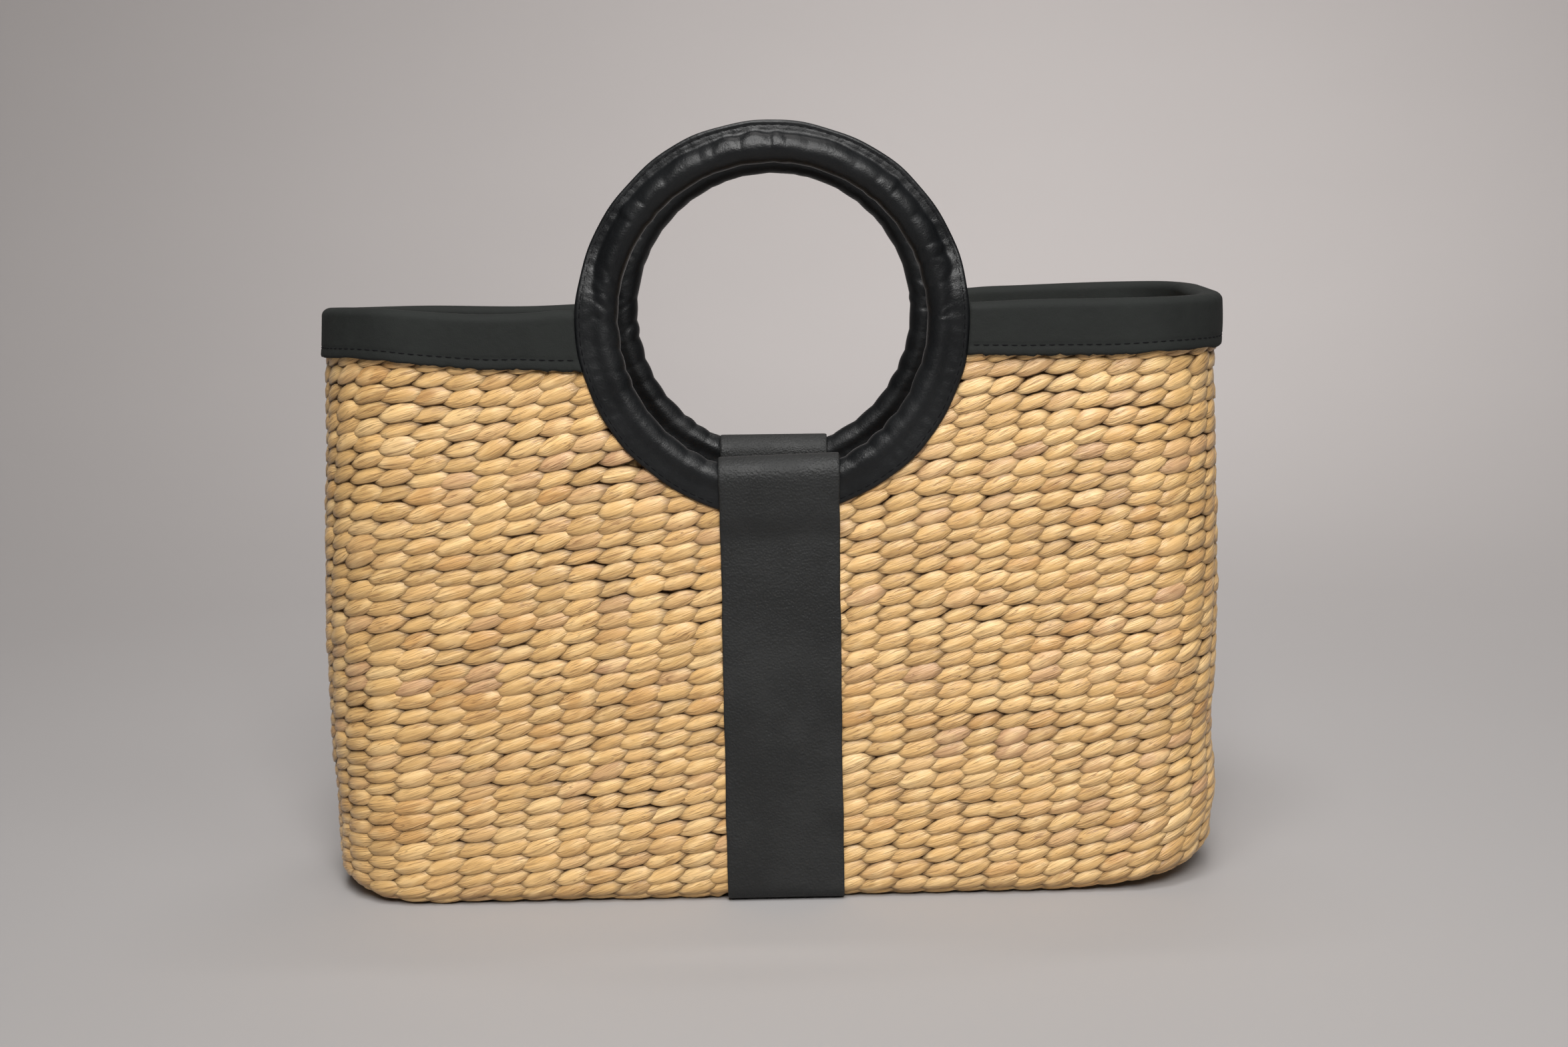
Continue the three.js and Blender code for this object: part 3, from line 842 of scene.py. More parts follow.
class StageSettings(bpy.types.PropertyGroup):
    """Camera, light and backdrop."""

    backdrop_colour: colour_setting("Backdrop", "Floor and wall", (0.388, 0.375, 0.374))
    camera_place: bpy.props.FloatVectorProperty(
        name="Camera", description="Where the camera stands", subtype="TRANSLATION", unit="LENGTH",
        default=(0.0042, -0.892, 0.2876))
    camera_turn: bpy.props.FloatVectorProperty(
        name="Camera turn", description="Pitch downwards, yaw to the right, and roll", subtype="EULER",
        unit="ROTATION", default=(math.radians(8.063), math.radians(-0.08), math.radians(-1.227)))
    lens: bpy.props.FloatProperty(name="Lens", description="Focal length in millimetres", default=44.28)
    top_power: power_setting("Top light", "Soft light high above the front", 6.3)
    front_power: power_setting("Front light", "Soft light above the camera", 8.2)
    right_power: power_setting("Right light", "Soft light above the right of the camera", 3.5)
    wall_power: power_setting("Wall light", "Light on the wall behind the bag", 26.5)
    pool_power: power_setting("Pool light", "Narrower light on the same wall", 4.2)
    behind_power: power_setting("Light behind", "Light on the floor behind the bag", 5.1)
    sky: bpy.props.FloatProperty(name="Sky", description="Strength of the light from all round", default=0.05)


def add_weave(name, place, twining, keep, side, mesh_points, finish):
    """One mesh of the stitches of a twining that are kept."""
    u, v, form = twining
    kept_form = {key: value[keep] for key, value in form.items()}
    points, faces, fibre, strand = stitches(place, u[keep], v[keep], kept_form, side, mesh_points)
    add_piece(name, settle(points), faces, finish, ["basket_body"], fibre, strand)


class BAG_OT_weave_outside(bpy.types.Operator):
    """Twine the outside of the basket, front and back half"""

    bl_idname = "bag.weave_outside"
    bl_label = "Outside of the weave"

    def execute(self, context):
        weave = context.scene.bag_weave
        twining, shown, in_front = twined_wall(weave, OUTSIDE_SEED)
        finish = straw_finish("straw_outside", weave, 1.0)
        for name, half in (("weave_front", in_front), ("weave_back", ~in_front)):
            add_weave(name, basket_point, twining, shown & half, 1, OUTER_POINTS, finish)
        return {"FINISHED"}


class BAG_OT_weave_inside(bpy.types.Operator):
    """Twine the inside of the basket"""

    bl_idname = "bag.weave_inside"
    bl_label = "Inside of the weave"

    def execute(self, context):
        weave = context.scene.bag_weave
        twining, shown, _ = twined_wall(weave, INSIDE_SEED)
        keep = shown & (twining[1] > INSIDE_START)
        # A darker copy of the straw: painted shade inside the bag
        finish = straw_finish("straw_inside", weave, 0.95)
        add_weave("weave_inside", basket_point, twining, keep, -1, INNER_POINTS, finish)
        return {"FINISHED"}


class BAG_OT_weave_base(bpy.types.Operator):
    """Twine both faces of the flat base"""

    bl_idname = "bag.weave_base"
    bl_label = "Base"

    def execute(self, context):
        weave = context.scene.bag_weave
        course = WALL_LENGTH / weave.course_count
        pitch = GIRTH / weave.stake_count
        last_row = math.floor((HALF_DEPTH - EDGE_RADIUS) / course)
        last_column = math.floor((HALF_WIDTH - EDGE_RADIUS) / pitch)
        row, column = np.meshgrid(np.arange(-last_row, last_row + 1),
                                  np.arange(-last_column, last_column + 1), indexing="ij")
        u = (column * pitch + row * pitch * weave.stake_lean).ravel()
        v = (row * course).ravel()
        form = stitch_forms(u.size, weave, np.random.default_rng(BASE_SEED))
        keep = np.hypot(*past_base(u, v)) < BASE_REACH
        # A darker copy of the straw: painted shade over the base
        finish = straw_finish("straw_base", weave, 0.92)
        for name, side in (("weave_under_base", 1), ("weave_floor", -1)):
            add_weave(name, base_point, (u, v, form), keep, side, OUTER_POINTS, finish)
        return {"FINISHED"}


def stake_shell(weave):
    """The stakes as one ribbed shell inside the wall: its half thickness is SHELL_HALF plus SHELL_RIB times a
    cosine that is 1 at each stake. Its top follows the rim and the notches of the rings, and its foot turns
    in over the base."""
    u = np.linspace(0, GIRTH, weave.stake_count * POINTS_PER_STAKE, endpoint=False)
    place, out = plan_place(u)
    rim = WALL_LENGTH - SHELL_BELOW_RIM
    notch_radius = FLANGE_RADIUS - SHELL_IN_NOTCH
    notch = RING_HEIGHT - np.sqrt(np.maximum(notch_radius ** 2 - place[:, 0] ** 2, 0))
    in_notch = (np.abs(place[:, 0]) < notch_radius + 1) & (np.abs(out[:, 1]) > 0.99)
    upper = np.where(in_notch, np.minimum(rim, notch - EDGE_RADIUS + TURN_LENGTH), rim)
    v = upper * np.linspace(0, 1, SHELL_ROWS)[:, None]
    course = v / WALL_LENGTH * weave.course_count
    number = np.interp(u, *stake_line(weave)) - course * weave.stake_lean
    half = SHELL_HALF + SHELL_RIB * np.cos(ROUND * number)
    outer, inner = basket_point(u, v, half), basket_point(u, v, -half)
    insets = np.linspace(EDGE_RADIUS, EDGE_RADIUS + SHELL_FLOOR, 4)[1:][:, None]
    flat = place + (CORNER_RADIUS - insets)[..., None] * out
    lower_floor, upper_floor = (
        np.concatenate([flat, np.full_like(flat[..., :1], height)], -1)
        for height in (HALF_WALL - SHELL_HALF, HALF_WALL + SHELL_HALF))
    rows = np.concatenate([lower_floor[::-1], outer, inner[::-1], upper_floor])
    count, around = rows.shape[:2]
    last = (count - 1) * around
    caps = np.stack([np.arange(around)[::-1], last + np.arange(around)])
    return rows.reshape(-1, 3), [grid_faces(count, around, wrap_columns=True), caps]


class BAG_OT_stakes(bpy.types.Operator):
    """Stand the stakes inside the weave"""

    bl_idname = "bag.stakes"
    bl_label = "Stakes"

    def execute(self, context):
        weave = context.scene.bag_weave
        points, faces = stake_shell(weave)
        add_piece("stakes", settle(points), faces, stake_finish(weave), ["basket_body"])
        return {"FINISHED"}


def leaf_gap(angle, end):
    """Half the gap between the two leaves of a sleeve's flange: they straddle the wall below the rim, and
    come together above it, where their height on the ring reaches the end in degrees."""
    elevation = np.arcsin(np.sin(angle))
    closed = smooth(elevation, math.radians(LEAF_START), math.radians(end))
    return LEAF_INSIDE * (1 - closed) + 0.2 * closed


def gathers(angle, around, leather, seed):
    """How far the sleeve stands in or out of its round. Between two gathers the leather bulges as a lobe of
    half a sine, on the ridge where the tube turns to the flange, which wanders out with the lobe, and on
    the inside of the ring. At each gather it pulls in to a narrow crease, exp(-(distance / width)^1.5),
    that runs over the tube and fades on the inside. The gathers are unevenly spaced and slanted. Short
    creases lie where the sleeve enters the rim."""
    rng = np.random.default_rng(seed)
    count = leather.pucker_count
    turned = around - math.pi
    off_centre = np.abs(turned)
    inmost = bell(turned, 1)
    places = np.sort((np.arange(count) + rng.uniform(-0.33, 0.33, count)) * ROUND / count)
    bounds = np.concatenate([places[-1:] - ROUND, places, places[:1] + ROUND])
    slanted = np.mod(angle + 0.022 * np.sin(5 * angle + 1) * turned, ROUND)
    left = np.searchsorted(bounds, slanted, side="right") - 1
    t = (slanted - bounds[left]) / (bounds[left + 1] - bounds[left])
    sizes = rng.uniform(0.35, 1.25, count + 1)
    sizes[-1] = sizes[0]
    arch = sizes[left] * np.sin(math.pi * t)
    upper = smooth(np.sin(angle), -0.3, 0.4)
    shoulder = (0.9 * arch - 0.22) * bell(off_centre - 1.98 - 0.55 * arch, 0.38)
    inner_side = (arch - 0.45) * inmost
    result = LOBE_HEIGHT * (shoulder * (0.40 + 0.60 * upper) + inner_side * (0.65 - 0.35 * upper))
    for place in places:
        width, deep, reach = rng.uniform(0.060, 0.100), rng.uniform(0.03, 0.35), rng.uniform(0.5, 1.0)
        away = np.mod(slanted - place + math.pi, ROUND) - math.pi
        window = bell(off_centre - 1.8, reach) + 0.25 * inmost
        crease = np.exp(-np.abs(away / width) ** 1.5)
        result = result - leather.pucker_depth * MM * deep * crease * window
    side = np.abs(np.sin(around)) ** 2
    for middle, toward in ((math.radians(4), 1), (math.radians(176), -1)):
        for k in range(7):
            place = middle + toward * math.radians(-9 + 3.4 * k + rng.uniform(-0.8, 0.8))
            slant = toward * rng.uniform(0.04, 0.16) * np.sign(np.sin(around))
            away = angle - place - slant * (off_centre - 1.2)
            result = result - rng.uniform(0.3, 0.75) * bell(away, 0.013) * side
    return result


def flange_edge(angle, front):
    """Distance of a flange's edge from the axis of its ring: round but for shallow waves."""
    return FLANGE_RADIUS + waves(angle, [5, 11, 23], [0.18, 0.16, 0.10], SLEEVE_SEEDS[front] + 2)


def sleeve_grids(front, leather):
    """Outer and inner face of the front (1) or back (-1) sleeve as grids: one row for each step round the
    ring. A row runs in from the edge of one leaf, round the hoop and out along the other leaf. The outer
    face has a groove at the seam and rounded edges, and its turn from tube to leaf is smoothed."""
    seed = SLEEVE_SEEDS[front]
    angle = np.linspace(0, ROUND, RING_POINTS, endpoint=False)[:, None]
    inside = leaf_gap(angle, LEAF_CLOSED_INSIDE)
    outside = leaf_gap(angle, LEAF_CLOSED_OUTSIDE) + SLEEVE_THICKNESS

    def round_hoop(half_gap, radius):
        """Angles round the hoop from leaf to leaf, where a tube of this radius leaves the gap open."""
        start = np.arcsin(np.minimum(half_gap / radius, 0.97))
        return start + (ROUND - 2 * start) * np.linspace(0, 1, TUBE_POINTS)

    def leaf_tube_leaf(leaf, tube, mirror):
        """Rows over one leaf, the tube and the other leaf, which mirrors the first or repeats it."""
        return np.concatenate([leaf, tube, mirror * leaf[:, ::-1]], 1)

    around = round_hoop(outside, GRIP_RADIUS)
    under_strap = np.exp(-(np.cos(angle) * RING_RADIUS / (STRAP_HALF + 1)) ** 8) * (angle > math.pi)
    pressed = STRAP_PRESS[front] * under_strap
    radius = GRIP_RADIUS - INNER_SLACK * smooth(-np.cos(around), -0.3, 0.9)
    radius = radius + gathers(angle, around, leather, seed) * (1 - 0.5 * (pressed > 0.2))
    radius = radius - pressed * smooth(-np.cos(around), -0.5, 0.5)
    tube_out, tube_across = radius * np.cos(around), radius * np.sin(around)
    tip = flange_edge(angle, front) - RING_RADIUS
    s = np.linspace(0, 1, LEAF_POINTS, endpoint=False) ** 0.8
    leaf_out = tip + (tube_out[:, :1] - tip) * s
    from_edge = tip - leaf_out
    groove = 0.25 * bell(from_edge - SLEEVE_SEAM, 0.55)
    rounding = edge_rounding(from_edge)
    ripple = waves(angle, [61, 83, 107], [0.07, 0.06, 0.05], seed + 3) * s
    sway = 0.15 * waves(angle, [7, 13], [1, 0.6], seed + 4)
    leaf_across = outside + (tube_across[:, :1] - outside) * s ** 6 - groove - rounding + ripple + sway
    outward = leaf_tube_leaf(leaf_out, tube_out, 1)
    across = leaf_tube_leaf(leaf_across, tube_across, -1)
    for _ in range(4):
        for line in (outward, across):
            line[:, 4:-4] = (line[:, 3:-5] + 2 * line[:, 4:-4] + line[:, 5:-3]) / 4
    inner_around = round_hoop(inside, SLEEVE_BORE)
    under_out = leaf_tube_leaf(leaf_out, SLEEVE_BORE * np.cos(inner_around), 1)
    lip = inside + 0.25 * np.exp(-from_edge / 0.25)
    under_across = leaf_tube_leaf(lip, SLEEVE_BORE * np.sin(inner_around), -1)

    def placed(out, side):
        """Points at the distance out from the hoop's circle and to the side of the wall's middle."""
        reach = RING_RADIUS + out
        y = -front * (WALL_MIDDLE + side)
        return np.stack([reach * np.cos(angle), y, RING_HEIGHT + reach * np.sin(angle)], -1)

    return placed(outward, across), placed(under_out, under_across)


class BAG_OT_ring_sleeves(bpy.types.Operator):
    """Sew the puckered leather sleeves on both hoops"""

    bl_idname = "bag.ring_sleeves"
    bl_label = "Ring sleeves"

    def execute(self, context):
        leather = context.scene.bag_leather
        finish = ring_leather_finish(leather)
        for end, front in (("front", 1), ("back", -1)):
            points, faces = leather_shell(sleeve_grids(front, leather), True)
            add_piece("sleeve_" + end, points, faces, finish, ["hoop_cover_" + end])
        return {"FINISHED"}


def binding_line(side):
    """Stations of a binding: corner centre and outward direction, from the front ring round one end of the
    bag to the back ring, with a weight that is 1 at the ring ends of the straights and 0 at the corners."""
    stops = np.cumsum([0] + BINDING_STEPS)
    station = np.arange(stops[-1] + 1)
    x = side * np.interp(station, stops, [0, END_X, END_X, END_X, END_X, 0])
    y = np.interp(station, stops, [-END_Y, -END_Y, -END_Y, END_Y, END_Y, END_Y])
    angle = np.interp(station, stops, [-QUARTER, -QUARTER, 0, 0, QUARTER, QUARTER])
    weight = np.interp(station, stops, [1, 0, 0, 0, 0, 1])
    return np.stack([x, y], -1), np.stack([side * np.cos(angle), np.sin(angle)], -1), weight


def binding_grids(side):
    """Outer and inner face of the left (-1) or right (1) rim binding: a strip folded over the rim. Each row
    runs up the outer leaf, over the fold and down the inner leaf, and its ends follow the round edge of the
    ring's flange. Its lower edges are frayed by waves, stand off the wall and buckle a little."""
    place, out, weight = binding_line(side)
    seed = BINDING_SEEDS[side]
    inside = HALF_WALL + SEAT_GAP
    outside = inside + BINDING_THICKNESS
    up = np.linspace(0, 1, 19)
    flat = np.ones_like(up)
    fold = np.linspace(0, QUARTER, 8)[1:]
    fold_radius = min(BINDING_FOLD, outside)
    leaf_top = BINDING_TOP - fold_radius
    height = np.concatenate([BINDING_BOTTOM + (leaf_top - BINDING_BOTTOM) * up,
                             leaf_top + fold_radius * np.sin(fold)])
    offset = np.concatenate([outside * flat, outside - fold_radius * (1 - np.cos(fold))])
    from_edge = height - BINDING_BOTTOM
    offset = offset - 0.30 * bell(from_edge - BINDING_SEAM, 0.6) - 0.35 * np.exp(-from_edge / 0.3)
    rim = RIM_HEIGHT - RIM_CHAMFER
    under_height = np.concatenate([BINDING_BOTTOM + (rim - BINDING_BOTTOM) * up,
                                   np.linspace(rim, RIM_HEIGHT + SEAT_GAP, 8)[1:]])
    under_offset = np.concatenate([inside * flat,
                                   np.linspace(inside, inside - RIM_CHAMFER - SEAT_GAP, 8)[1:]])
    under_offset[0] += 0.2
    t = np.linspace(0, ROUND, len(place))[:, None]
    from_edge = np.concatenate([from_edge, from_edge[::-1]])
    low = np.exp(-from_edge / 5)
    fray = waves(t, [23, 41, 67, 97], [0.22, 0.18, 0.16, 0.14], seed) * np.exp(-from_edge / 1.2)
    buckle = np.abs(waves(t, [5, 9, 14], [0.35, 0.25, 0.18], seed + 1))
    corner = 1 - smooth(weight, 0.0, 0.25)[:, None]
    flare = low * (0.15 + 0.3 * corner + 0.35 * buckle)
    across = place[:, 0] + side * FLANGE_RADIUS * weight + MIDDLE_RADIUS * out[:, 0]
    lift = soft_line(across, BINDING_LIFT)[:, None]
    grids = []
    for heights, outwards in ((height, offset), (under_height, under_offset)):
        heights = np.concatenate([heights, heights[::-1]])
        outwards = np.concatenate([outwards, -outwards[::-1]])
        share = (heights - BINDING_BOTTOM) / (BINDING_TOP - BINDING_BOTTOM)
        z = heights + fray + lift * (1 - share)
        swell = buckle * np.sin(math.pi * np.clip(share, 0, 1))
        loose = np.where(outwards > 0, flare + 0.35 * swell, -0.15 * low - 0.2 * swell)
        reach = MIDDLE_RADIUS + outwards + loose
        turn = np.arctan2(z - RING_HEIGHT, side * FLANGE_RADIUS)
        flange = np.where(place[:, 1:] < 0, flange_edge(turn, 1), flange_edge(turn, -1))
        start = np.sqrt(np.maximum(flange ** 2 - (z - RING_HEIGHT) ** 2, 0))
        x = place[:, :1] + reach * out[:, :1] + side * start * weight[:, None]
        y = place[:, 1:] + reach * out[:, 1:]
        grids.append(settle(np.stack([x, y, z], -1)))
    return grids


class BAG_OT_rim_bindings(bpy.types.Operator):
    """Fold the leather bindings over both ends of the rim"""

    bl_idname = "bag.rim_bindings"
    bl_label = "Rim bindings"

    def execute(self, context):
        finish = binding_leather_finish(context.scene.bag_leather)
        for name, side in (("binding_left", -1), ("binding_right", 1)):
            points, faces = leather_shell(binding_grids(side), False)
            add_piece(name, points, faces, finish, ["rim_" + name])
        return {"FINISHED"}


def strap_line():
    """Middle line of the strap in the plane across the bag, as (y, z) points about 1 mm apart, from its tail
    inside the front wall over the front ring, under the base and back the same way, with its directions."""
    half = STRAP_THICKNESS / 2
    on_wall = HALF_WALL + STRAP_GAP + half
    on_leaf = LEAF_OUTSIDE + STRAP_GAP + half
    on_grip = strap_high[1] - WALL_MIDDLE - half
    loop = strap_high[2] - half - on_grip
    leaf_low = RING_HEIGHT - FLANGE_RADIUS - 1
    landing = leaf_low - 2 * (on_leaf - on_wall) - 4
    turn = np.linspace(0, math.pi, 25)
    bend = np.linspace(0, QUARTER, 13)
    bend_radius = STRAP_BEND - half
    across = np.concatenate([
        [on_wall, on_wall, on_leaf, on_grip], on_grip * np.cos(turn)[1:], [-on_leaf, -on_wall],
        -on_wall + bend_radius * (1 - np.cos(bend))])
    height = np.concatenate([
        [RING_HEIGHT - FLANGE_RADIUS - STRAP_TAIL, landing, leaf_low, loop],
        loop + on_grip * np.sin(turn)[1:], [leaf_low, landing], half + bend_radius * (1 - np.sin(bend))])
    y = np.concatenate([across - WALL_MIDDLE, (WALL_MIDDLE - across)[::-1]])
    z = np.concatenate([height, height[::-1]])
    length = np.concatenate([[0], np.cumsum(np.hypot(np.diff(y), np.diff(z)))])
    even = np.linspace(0, length[-1], int(length[-1]))
    y, z = np.interp(even, length, y), np.interp(even, length, z)
    kernel = np.ones(5) / 5
    for _ in range(2):
        y[2:-2], z[2:-2] = np.convolve(y, kernel, "valid"), np.convolve(z, kernel, "valid")
    along = np.gradient(np.stack([y, z], -1), axis=0)
    along /= np.linalg.norm(along, axis=1, keepdims=True)
    return np.stack([y, z], -1), np.stack([-along[:, 1], along[:, 0]], -1), even


def strap_grids():
    """Outer and inner face of the strap: its middle line carried across its width, with turned edges a little
    thicker than its middle and a sewn groove inside each. Each loop leans and tilts a little on its ring."""
    line, normal, even = strap_line()
    shares = np.array([0, 0.25, 0.5, 0.72, 0.82, 0.845, 0.86, 0.875, 0.895, 0.93, 0.965, 0.988, 1.0])
    across = STRAP_HALF * np.concatenate([-shares[:0:-1], shares])
    inset = STRAP_HALF - np.abs(across)
    on_ring = smooth(line[:, 1], 178, 192)[:, None]
    t = even[:, None] / even[-1] * ROUND
    width = 1 + waves(t, [9, 17, 31], [0.0035, 0.003, 0.002], STRAP_SEED) + 0.010 * on_ring
    half = STRAP_THICKNESS / 2
    rounding = edge_rounding(inset)
    turned = 0.16 * smooth(inset, 0.2, 0.8) * (1 - smooth(inset, 4.2, STRAP_HEM))
    groove = 0.26 * bell(inset - STRAP_SEAM, 0.5)
    crease = 0.18 * waves(t + 0.004 * across, [13, 29, 47], [0.5, 0.3, 0.2], STRAP_SEED + 1) * (1 - on_ring)
    in_front = 1 - smooth(line[:, :1], -40, 40)
    drop = BACK_LOOP_DROP * on_ring * (1 - in_front)
    x = across * width
    grids = []
    for shift in (half - rounding + turned - groove + np.clip(crease, -0.15, 0.2), rounding - half):
        y = line[:, :1] + shift * normal[:, :1]
        z = line[:, 1:] + shift * normal[:, 1:]
        tilt = np.where(y < 0, 0.020, -0.008) * x * on_ring
        climb = smooth(z, 20, 200)
        lean = in_front * (0.6 + 0.7 * climb) - (1 - in_front) * 1.4 * climb
        grids.append(np.stack([x + lean, y, z + tilt - drop], -1))
    return grids


class BAG_OT_centre_strap(bpy.types.Operator):
    """Lay the strap over both rings and under the base"""

    bl_idname = "bag.centre_strap"
    bl_label = "Centre strap"

    def execute(self, context):
        points, faces = leather_shell(strap_grids(), False)
        finish = strap_leather_finish(context.scene.bag_leather)
        add_piece("strap", points, faces, finish, ["centre_strap"])
        return {"FINISHED"}


def unit(vectors):
    """The same directions with a length of 1."""
    return vectors / np.linalg.norm(vectors, axis=1, keepdims=True)


def dashes(line, up, leather, thickness):
    """Sewing stitches along a line of points: each is a short rounded bar that lies on the leather, with the
    direction up standing out of it. The bar's radius is the thread's times its share of thickness times the
    square root of 1 - s^4, where s runs from -1 to 1 along it."""
    length = np.concatenate([[0], np.cumsum(np.linalg.norm(np.diff(line, axis=0), axis=1))])
    step = (leather.stitch_length + leather.stitch_gap) * MM
    count = max(1, int(length[-1] / step))
    middle = (np.arange(count) + 0.5) * length[-1] / count
    half = leather.stitch_length * MM / 2
    radius = leather.thread_thickness * MM / 2 * thickness

    def at(place, values):
        """The values at a distance along the line."""
        return np.stack([np.interp(place, length, values[:, k]) for k in range(3)], -1)

    along = unit(at(middle + half, line) - at(middle - half, line))
    out = at(middle, up)
    out = unit(out - along * np.sum(out * along, 1, keepdims=True))
    beside = np.cross(along, out)
    s = np.concatenate([np.repeat(THREAD_PLACES, THREAD_SIDES), [-1, 1]])
    around = np.linspace(0, ROUND, THREAD_SIDES, endpoint=False)
    beta = np.concatenate([np.tile(around, len(THREAD_PLACES)), [0, 0]])
    thick = radius * np.sqrt(np.maximum(1 - s ** 4, 0))
    sink = radius * (0.1 - 0.9 * s ** 2)
    points = at(middle, line)[:, None]
    for direction, distance in (
            (along, half * s), (out, thick * np.cos(beta) + sink), (beside, thick * np.sin(beta))):
        points = points + direction[:, None] * distance[:, None]
    return points.reshape(-1, 3), stitch_faces(count, len(THREAD_PLACES), THREAD_SIDES)


def joined(parts):
    """Several meshes as one list of points and one of faces."""
    offset, points, faces = 0, [], []
    for some_points, some_faces in parts:
        points.append(some_points)
        faces.extend(face + offset for face in some_faces)
        offset += len(some_points)
    return np.concatenate(points), faces


def sleeve_seams(leather):
    """Thread lines of both sleeves: one on each leaf, a little in from its edge, and none under the strap."""
    seam_column, thickness = SEAMS["sleeve"]
    parts = []
    for front in SLEEVE_SEEDS:
        top, _ = sleeve_grids(front, leather)
        reach = np.hypot(top[..., 0], top[..., 2] - RING_HEIGHT)
        for side, column in ((1, seam_column), (-1, -1 - seam_column)):
            line = top[:, column].copy()
            scale = (reach[:, 0] - SLEEVE_SEAM) / reach[:, column]
            line[:, 0] *= scale
            line[:, 2] = RING_HEIGHT + (line[:, 2] - RING_HEIGHT) * scale
            up = np.zeros_like(line)
            up[:, 1] = -front * side
            hidden = (np.abs(line[:, 0]) < STRAP_HALF + 0.5) & (line[:, 2] < RING_HEIGHT)
            order = np.roll(np.arange(len(line)), -(len(line) * 3 // 4))
            shown = order[~hidden[order]]
            parts.append(dashes(line[shown], up[shown], leather, thickness))
    return joined(parts)


def binding_seams(leather):
    """Thread lines of both bindings: one on each leaf, a little above its lower edge."""
    seam_column, thickness = SEAMS["binding"]
    parts = []
    for side in BINDING_SEEDS:
        top, _ = binding_grids(side)
        _, out, _ = binding_line(side)
        out = np.concatenate([out, np.zeros((len(out), 1))], -1)
        for flip, column in ((1, seam_column), (-1, -1 - seam_column)):
            line = top[:, column] + 0.1 * flip * out
            parts.append(dashes(line[1:-1], flip * out[1:-1], leather, thickness))
    return joined(parts)


def strap_seams(leather):
    """Thread lines of the strap, a little in from each edge."""
    seam_column, thickness = SEAMS["strap"]
    top, _ = strap_grids()
    _, normal, _ = strap_line()
    up = np.concatenate([np.zeros((len(normal), 1)), normal], -1)
    return joined([dashes(top[3:-3, column], up[3:-3], leather, thickness)
                   for column in (seam_column, -1 - seam_column)])


class BAG_OT_threads(bpy.types.Operator):
    """Sew the threads of the sleeves, bindings and strap"""

    bl_idname = "bag.threads"
    bl_label = "Threads"

    def execute(self, context):
        leather = context.scene.bag_leather
        finish = thread_finish(leather)
        for name, seams in (("sleeve", sleeve_seams), ("binding", binding_seams), ("strap", strap_seams)):
            points, faces = seams(leather)
            add_piece(name + "_threads", points, faces, finish)
        return {"FINISHED"}


class BAG_OT_hoops(bpy.types.Operator):
    """Give the two stiff hoops their cane finish"""

    bl_idname = "bag.hoops"
    bl_label = "Hoops"

    def execute(self, context):
        finish = cane_finish(context.scene.bag_weave)
        for name in ("hoop_front", "hoop_back"):
            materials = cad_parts[name].data.materials
            materials.clear()
            materials.append(finish)
        return {"FINISHED"}


def sweep():
    """Floor that turns up into a wall all round: a line out along the floor, up a quarter turn and straight
    up, carried once round. In metres, just below the floor of the frame."""
    flat = SWEEP_RADIUS - SWEEP_TURN
    turn = np.linspace(0, QUARTER, 15)[1:]
    out = np.concatenate([np.linspace(0.05, flat, 14), flat + SWEEP_TURN * np.sin(turn), [SWEEP_RADIUS] * 2])
    up = np.concatenate([np.zeros(14), SWEEP_TURN * (1 - np.cos(turn)),
                         [(SWEEP_TURN + SWEEP_HEIGHT) / 2, SWEEP_HEIGHT]])[:, None] - 0.0004
    around = np.linspace(0, ROUND, SWEEP_POINTS, endpoint=False)
    x, y = out[:, None] * np.cos(around), out[:, None] * np.sin(around)
    points = np.stack([x, y, np.broadcast_to(up, x.shape)], -1).reshape(-1, 3)
    faces = grid_faces(len(out), SWEEP_POINTS, wrap_columns=True).tolist()
    return points.tolist(), faces + [list(range(SWEEP_POINTS))[::-1]]


def add_backdrop(stage):
    """The floor and wall behind the bag, as a piece of the stage."""
    points, faces = sweep()
    mesh = bpy.data.meshes.new("backdrop")
    mesh.from_pydata(points, [], faces)
    mesh.shade_smooth()
    mesh.materials.append(paper_finish(stage))
    backdrop = bpy.data.objects.new("backdrop", mesh)
    bpy.context.scene.collection.objects.link(backdrop)


def add_lamp(name, place, target, size, colour, spread, power):
    """A square soft light that looks at the target, with its spread in degrees."""
    light = bpy.data.lights.new(name, "AREA")
    light.shape = "SQUARE"
    light.size = size
    light.energy = power
    light.color = colour
    light.spread = math.radians(spread)
    lamp = bpy.data.objects.new(name, light)
    bpy.context.scene.collection.objects.link(lamp)
    turned = (Vector(target) - Vector(place)).to_track_quat("-Z", "Y").to_matrix()
    lamp.matrix_world = Matrix.Translation(place) @ turned.to_4x4()


def add_camera(scene, stage):
    """Camera with a pitch downwards, a yaw to the right and a roll about its own line of sight."""
    pitch, yaw, roll = stage.camera_turn
    camera = bpy.data.cameras.new("camera")
    camera.lens = stage.lens
    camera.sensor_width = 36.0
    camera.clip_start = 0.01
    eye = bpy.data.objects.new("camera", camera)
    scene.collection.objects.link(eye)
    turned = Matrix.Rotation(-yaw, 4, "Z") @ Matrix.Rotation(QUARTER - pitch, 4, "X")
    eye.matrix_world = Matrix.Translation(stage.camera_place) @ turned @ Matrix.Rotation(roll, 4, "Z")
    scene.camera = eye


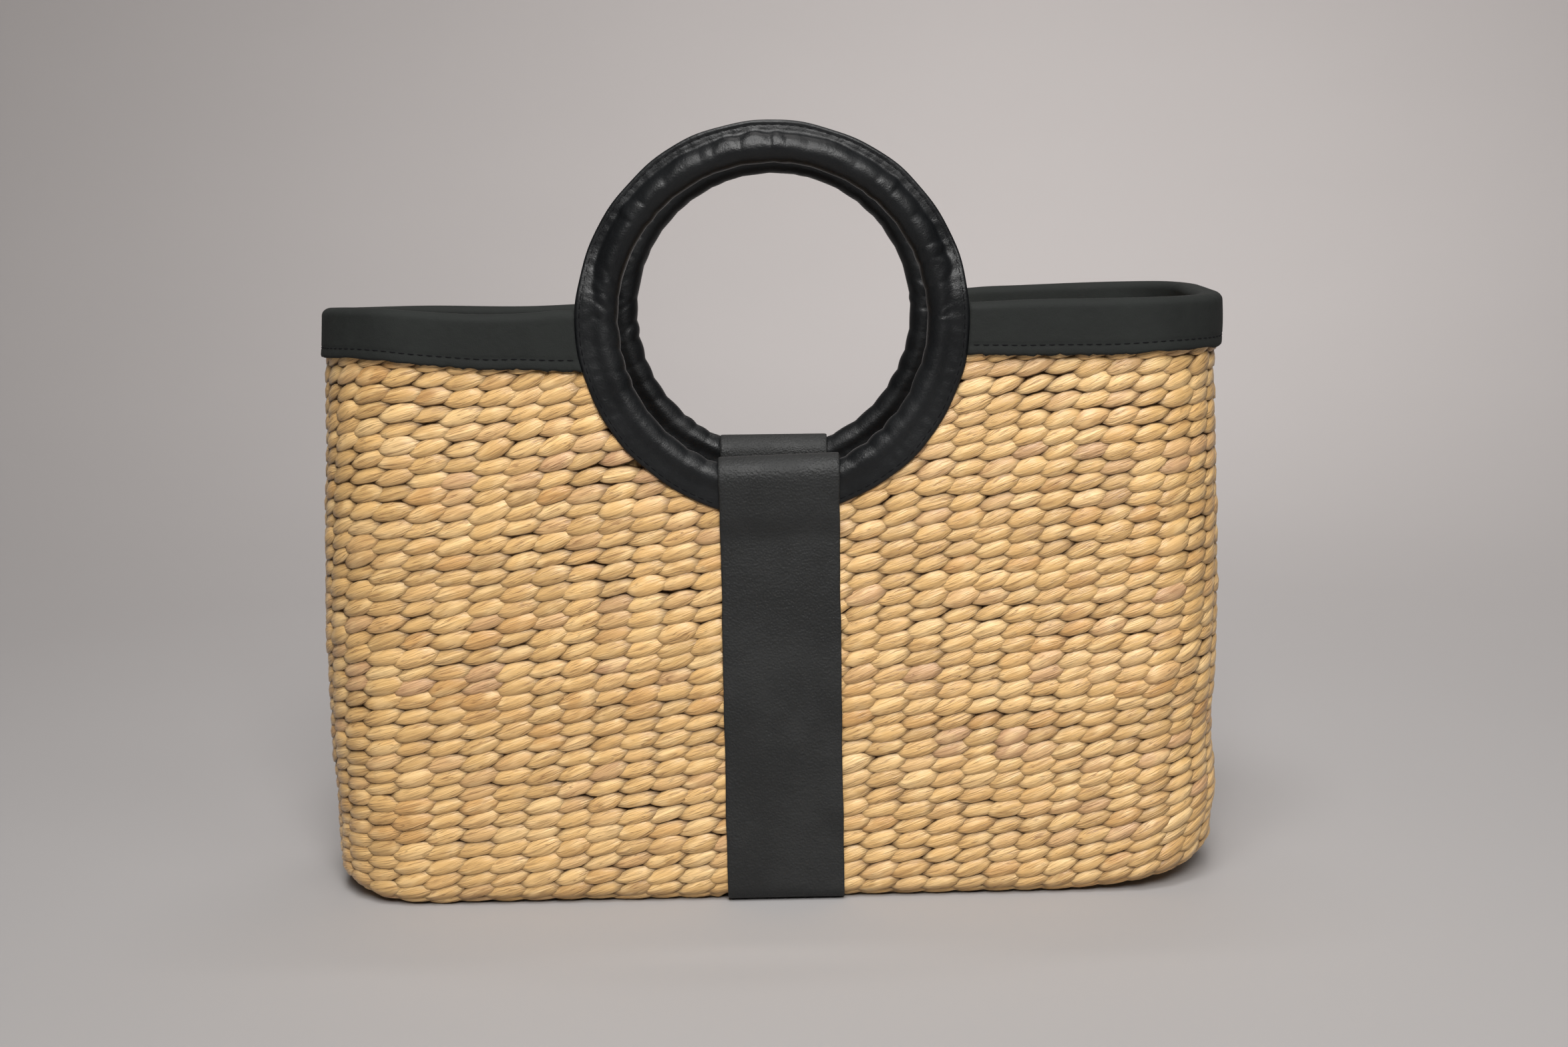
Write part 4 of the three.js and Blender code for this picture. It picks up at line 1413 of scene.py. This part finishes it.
class BAG_OT_stage(bpy.types.Operator):
    """Set up the backdrop, the lights and the camera"""

    bl_idname = "bag.stage"
    bl_label = "Stage"

    def execute(self, context):
        scene = context.scene
        stage = scene.bag_stage
        add_backdrop(stage)
        for lamp in LAMPS:
            add_lamp(*lamp, getattr(stage, lamp[0] + "_power"))
        scene.world = bpy.data.worlds.new("studio")
        scene.world.use_nodes = True
        background = scene.world.node_tree.nodes["Background"]
        background.inputs["Color"].default_value = (1.0, 1.0, 1.0, 1.0)
        background.inputs["Strength"].default_value = stage.sky
        scene.view_settings.view_transform = "Standard"
        add_camera(scene, stage)
        return {"FINISHED"}


GROUPS = {"bag_weave": WeaveSettings, "bag_leather": LeatherSettings, "bag_stage": StageSettings}
STEPS = (BAG_OT_stage, BAG_OT_weave_outside, BAG_OT_weave_inside, BAG_OT_weave_base, BAG_OT_stakes,
         BAG_OT_ring_sleeves, BAG_OT_rim_bindings, BAG_OT_centre_strap, BAG_OT_threads, BAG_OT_hoops)


class BAG_PT_parts(bpy.types.Panel):
    """Lists the operators and the sizes and colours that they use"""

    bl_idname = "BAG_PT_parts"
    bl_label = "Water hyacinth bag"
    bl_space_type = "VIEW_3D"
    bl_region_type = "UI"
    bl_category = "Bag"

    def draw(self, context):
        for step in STEPS:
            self.layout.operator(step.bl_idname)
        for name in GROUPS:
            group = getattr(context.scene, name)
            box = self.layout.box()
            for setting in group.__annotations__:
                box.prop(group, setting)


def register():
    """Register the settings, the operators and the panel."""
    for kind in (*GROUPS.values(), *STEPS, BAG_PT_parts):
        bpy.utils.register_class(kind)
    for name, group in GROUPS.items():
        setattr(bpy.types.Scene, name, bpy.props.PointerProperty(type=group))


def unregister():
    """Take away what register adds."""
    for name in GROUPS:
        delattr(bpy.types.Scene, name)
    for kind in (BAG_PT_parts, *STEPS[::-1], *GROUPS.values()):
        bpy.utils.unregister_class(kind)


def main():
    """Make the bag."""
    register()
    for step in STEPS:
        getattr(bpy.ops.bag, step.bl_idname.split(".")[1])()


if __name__ == "__main__":
    main()
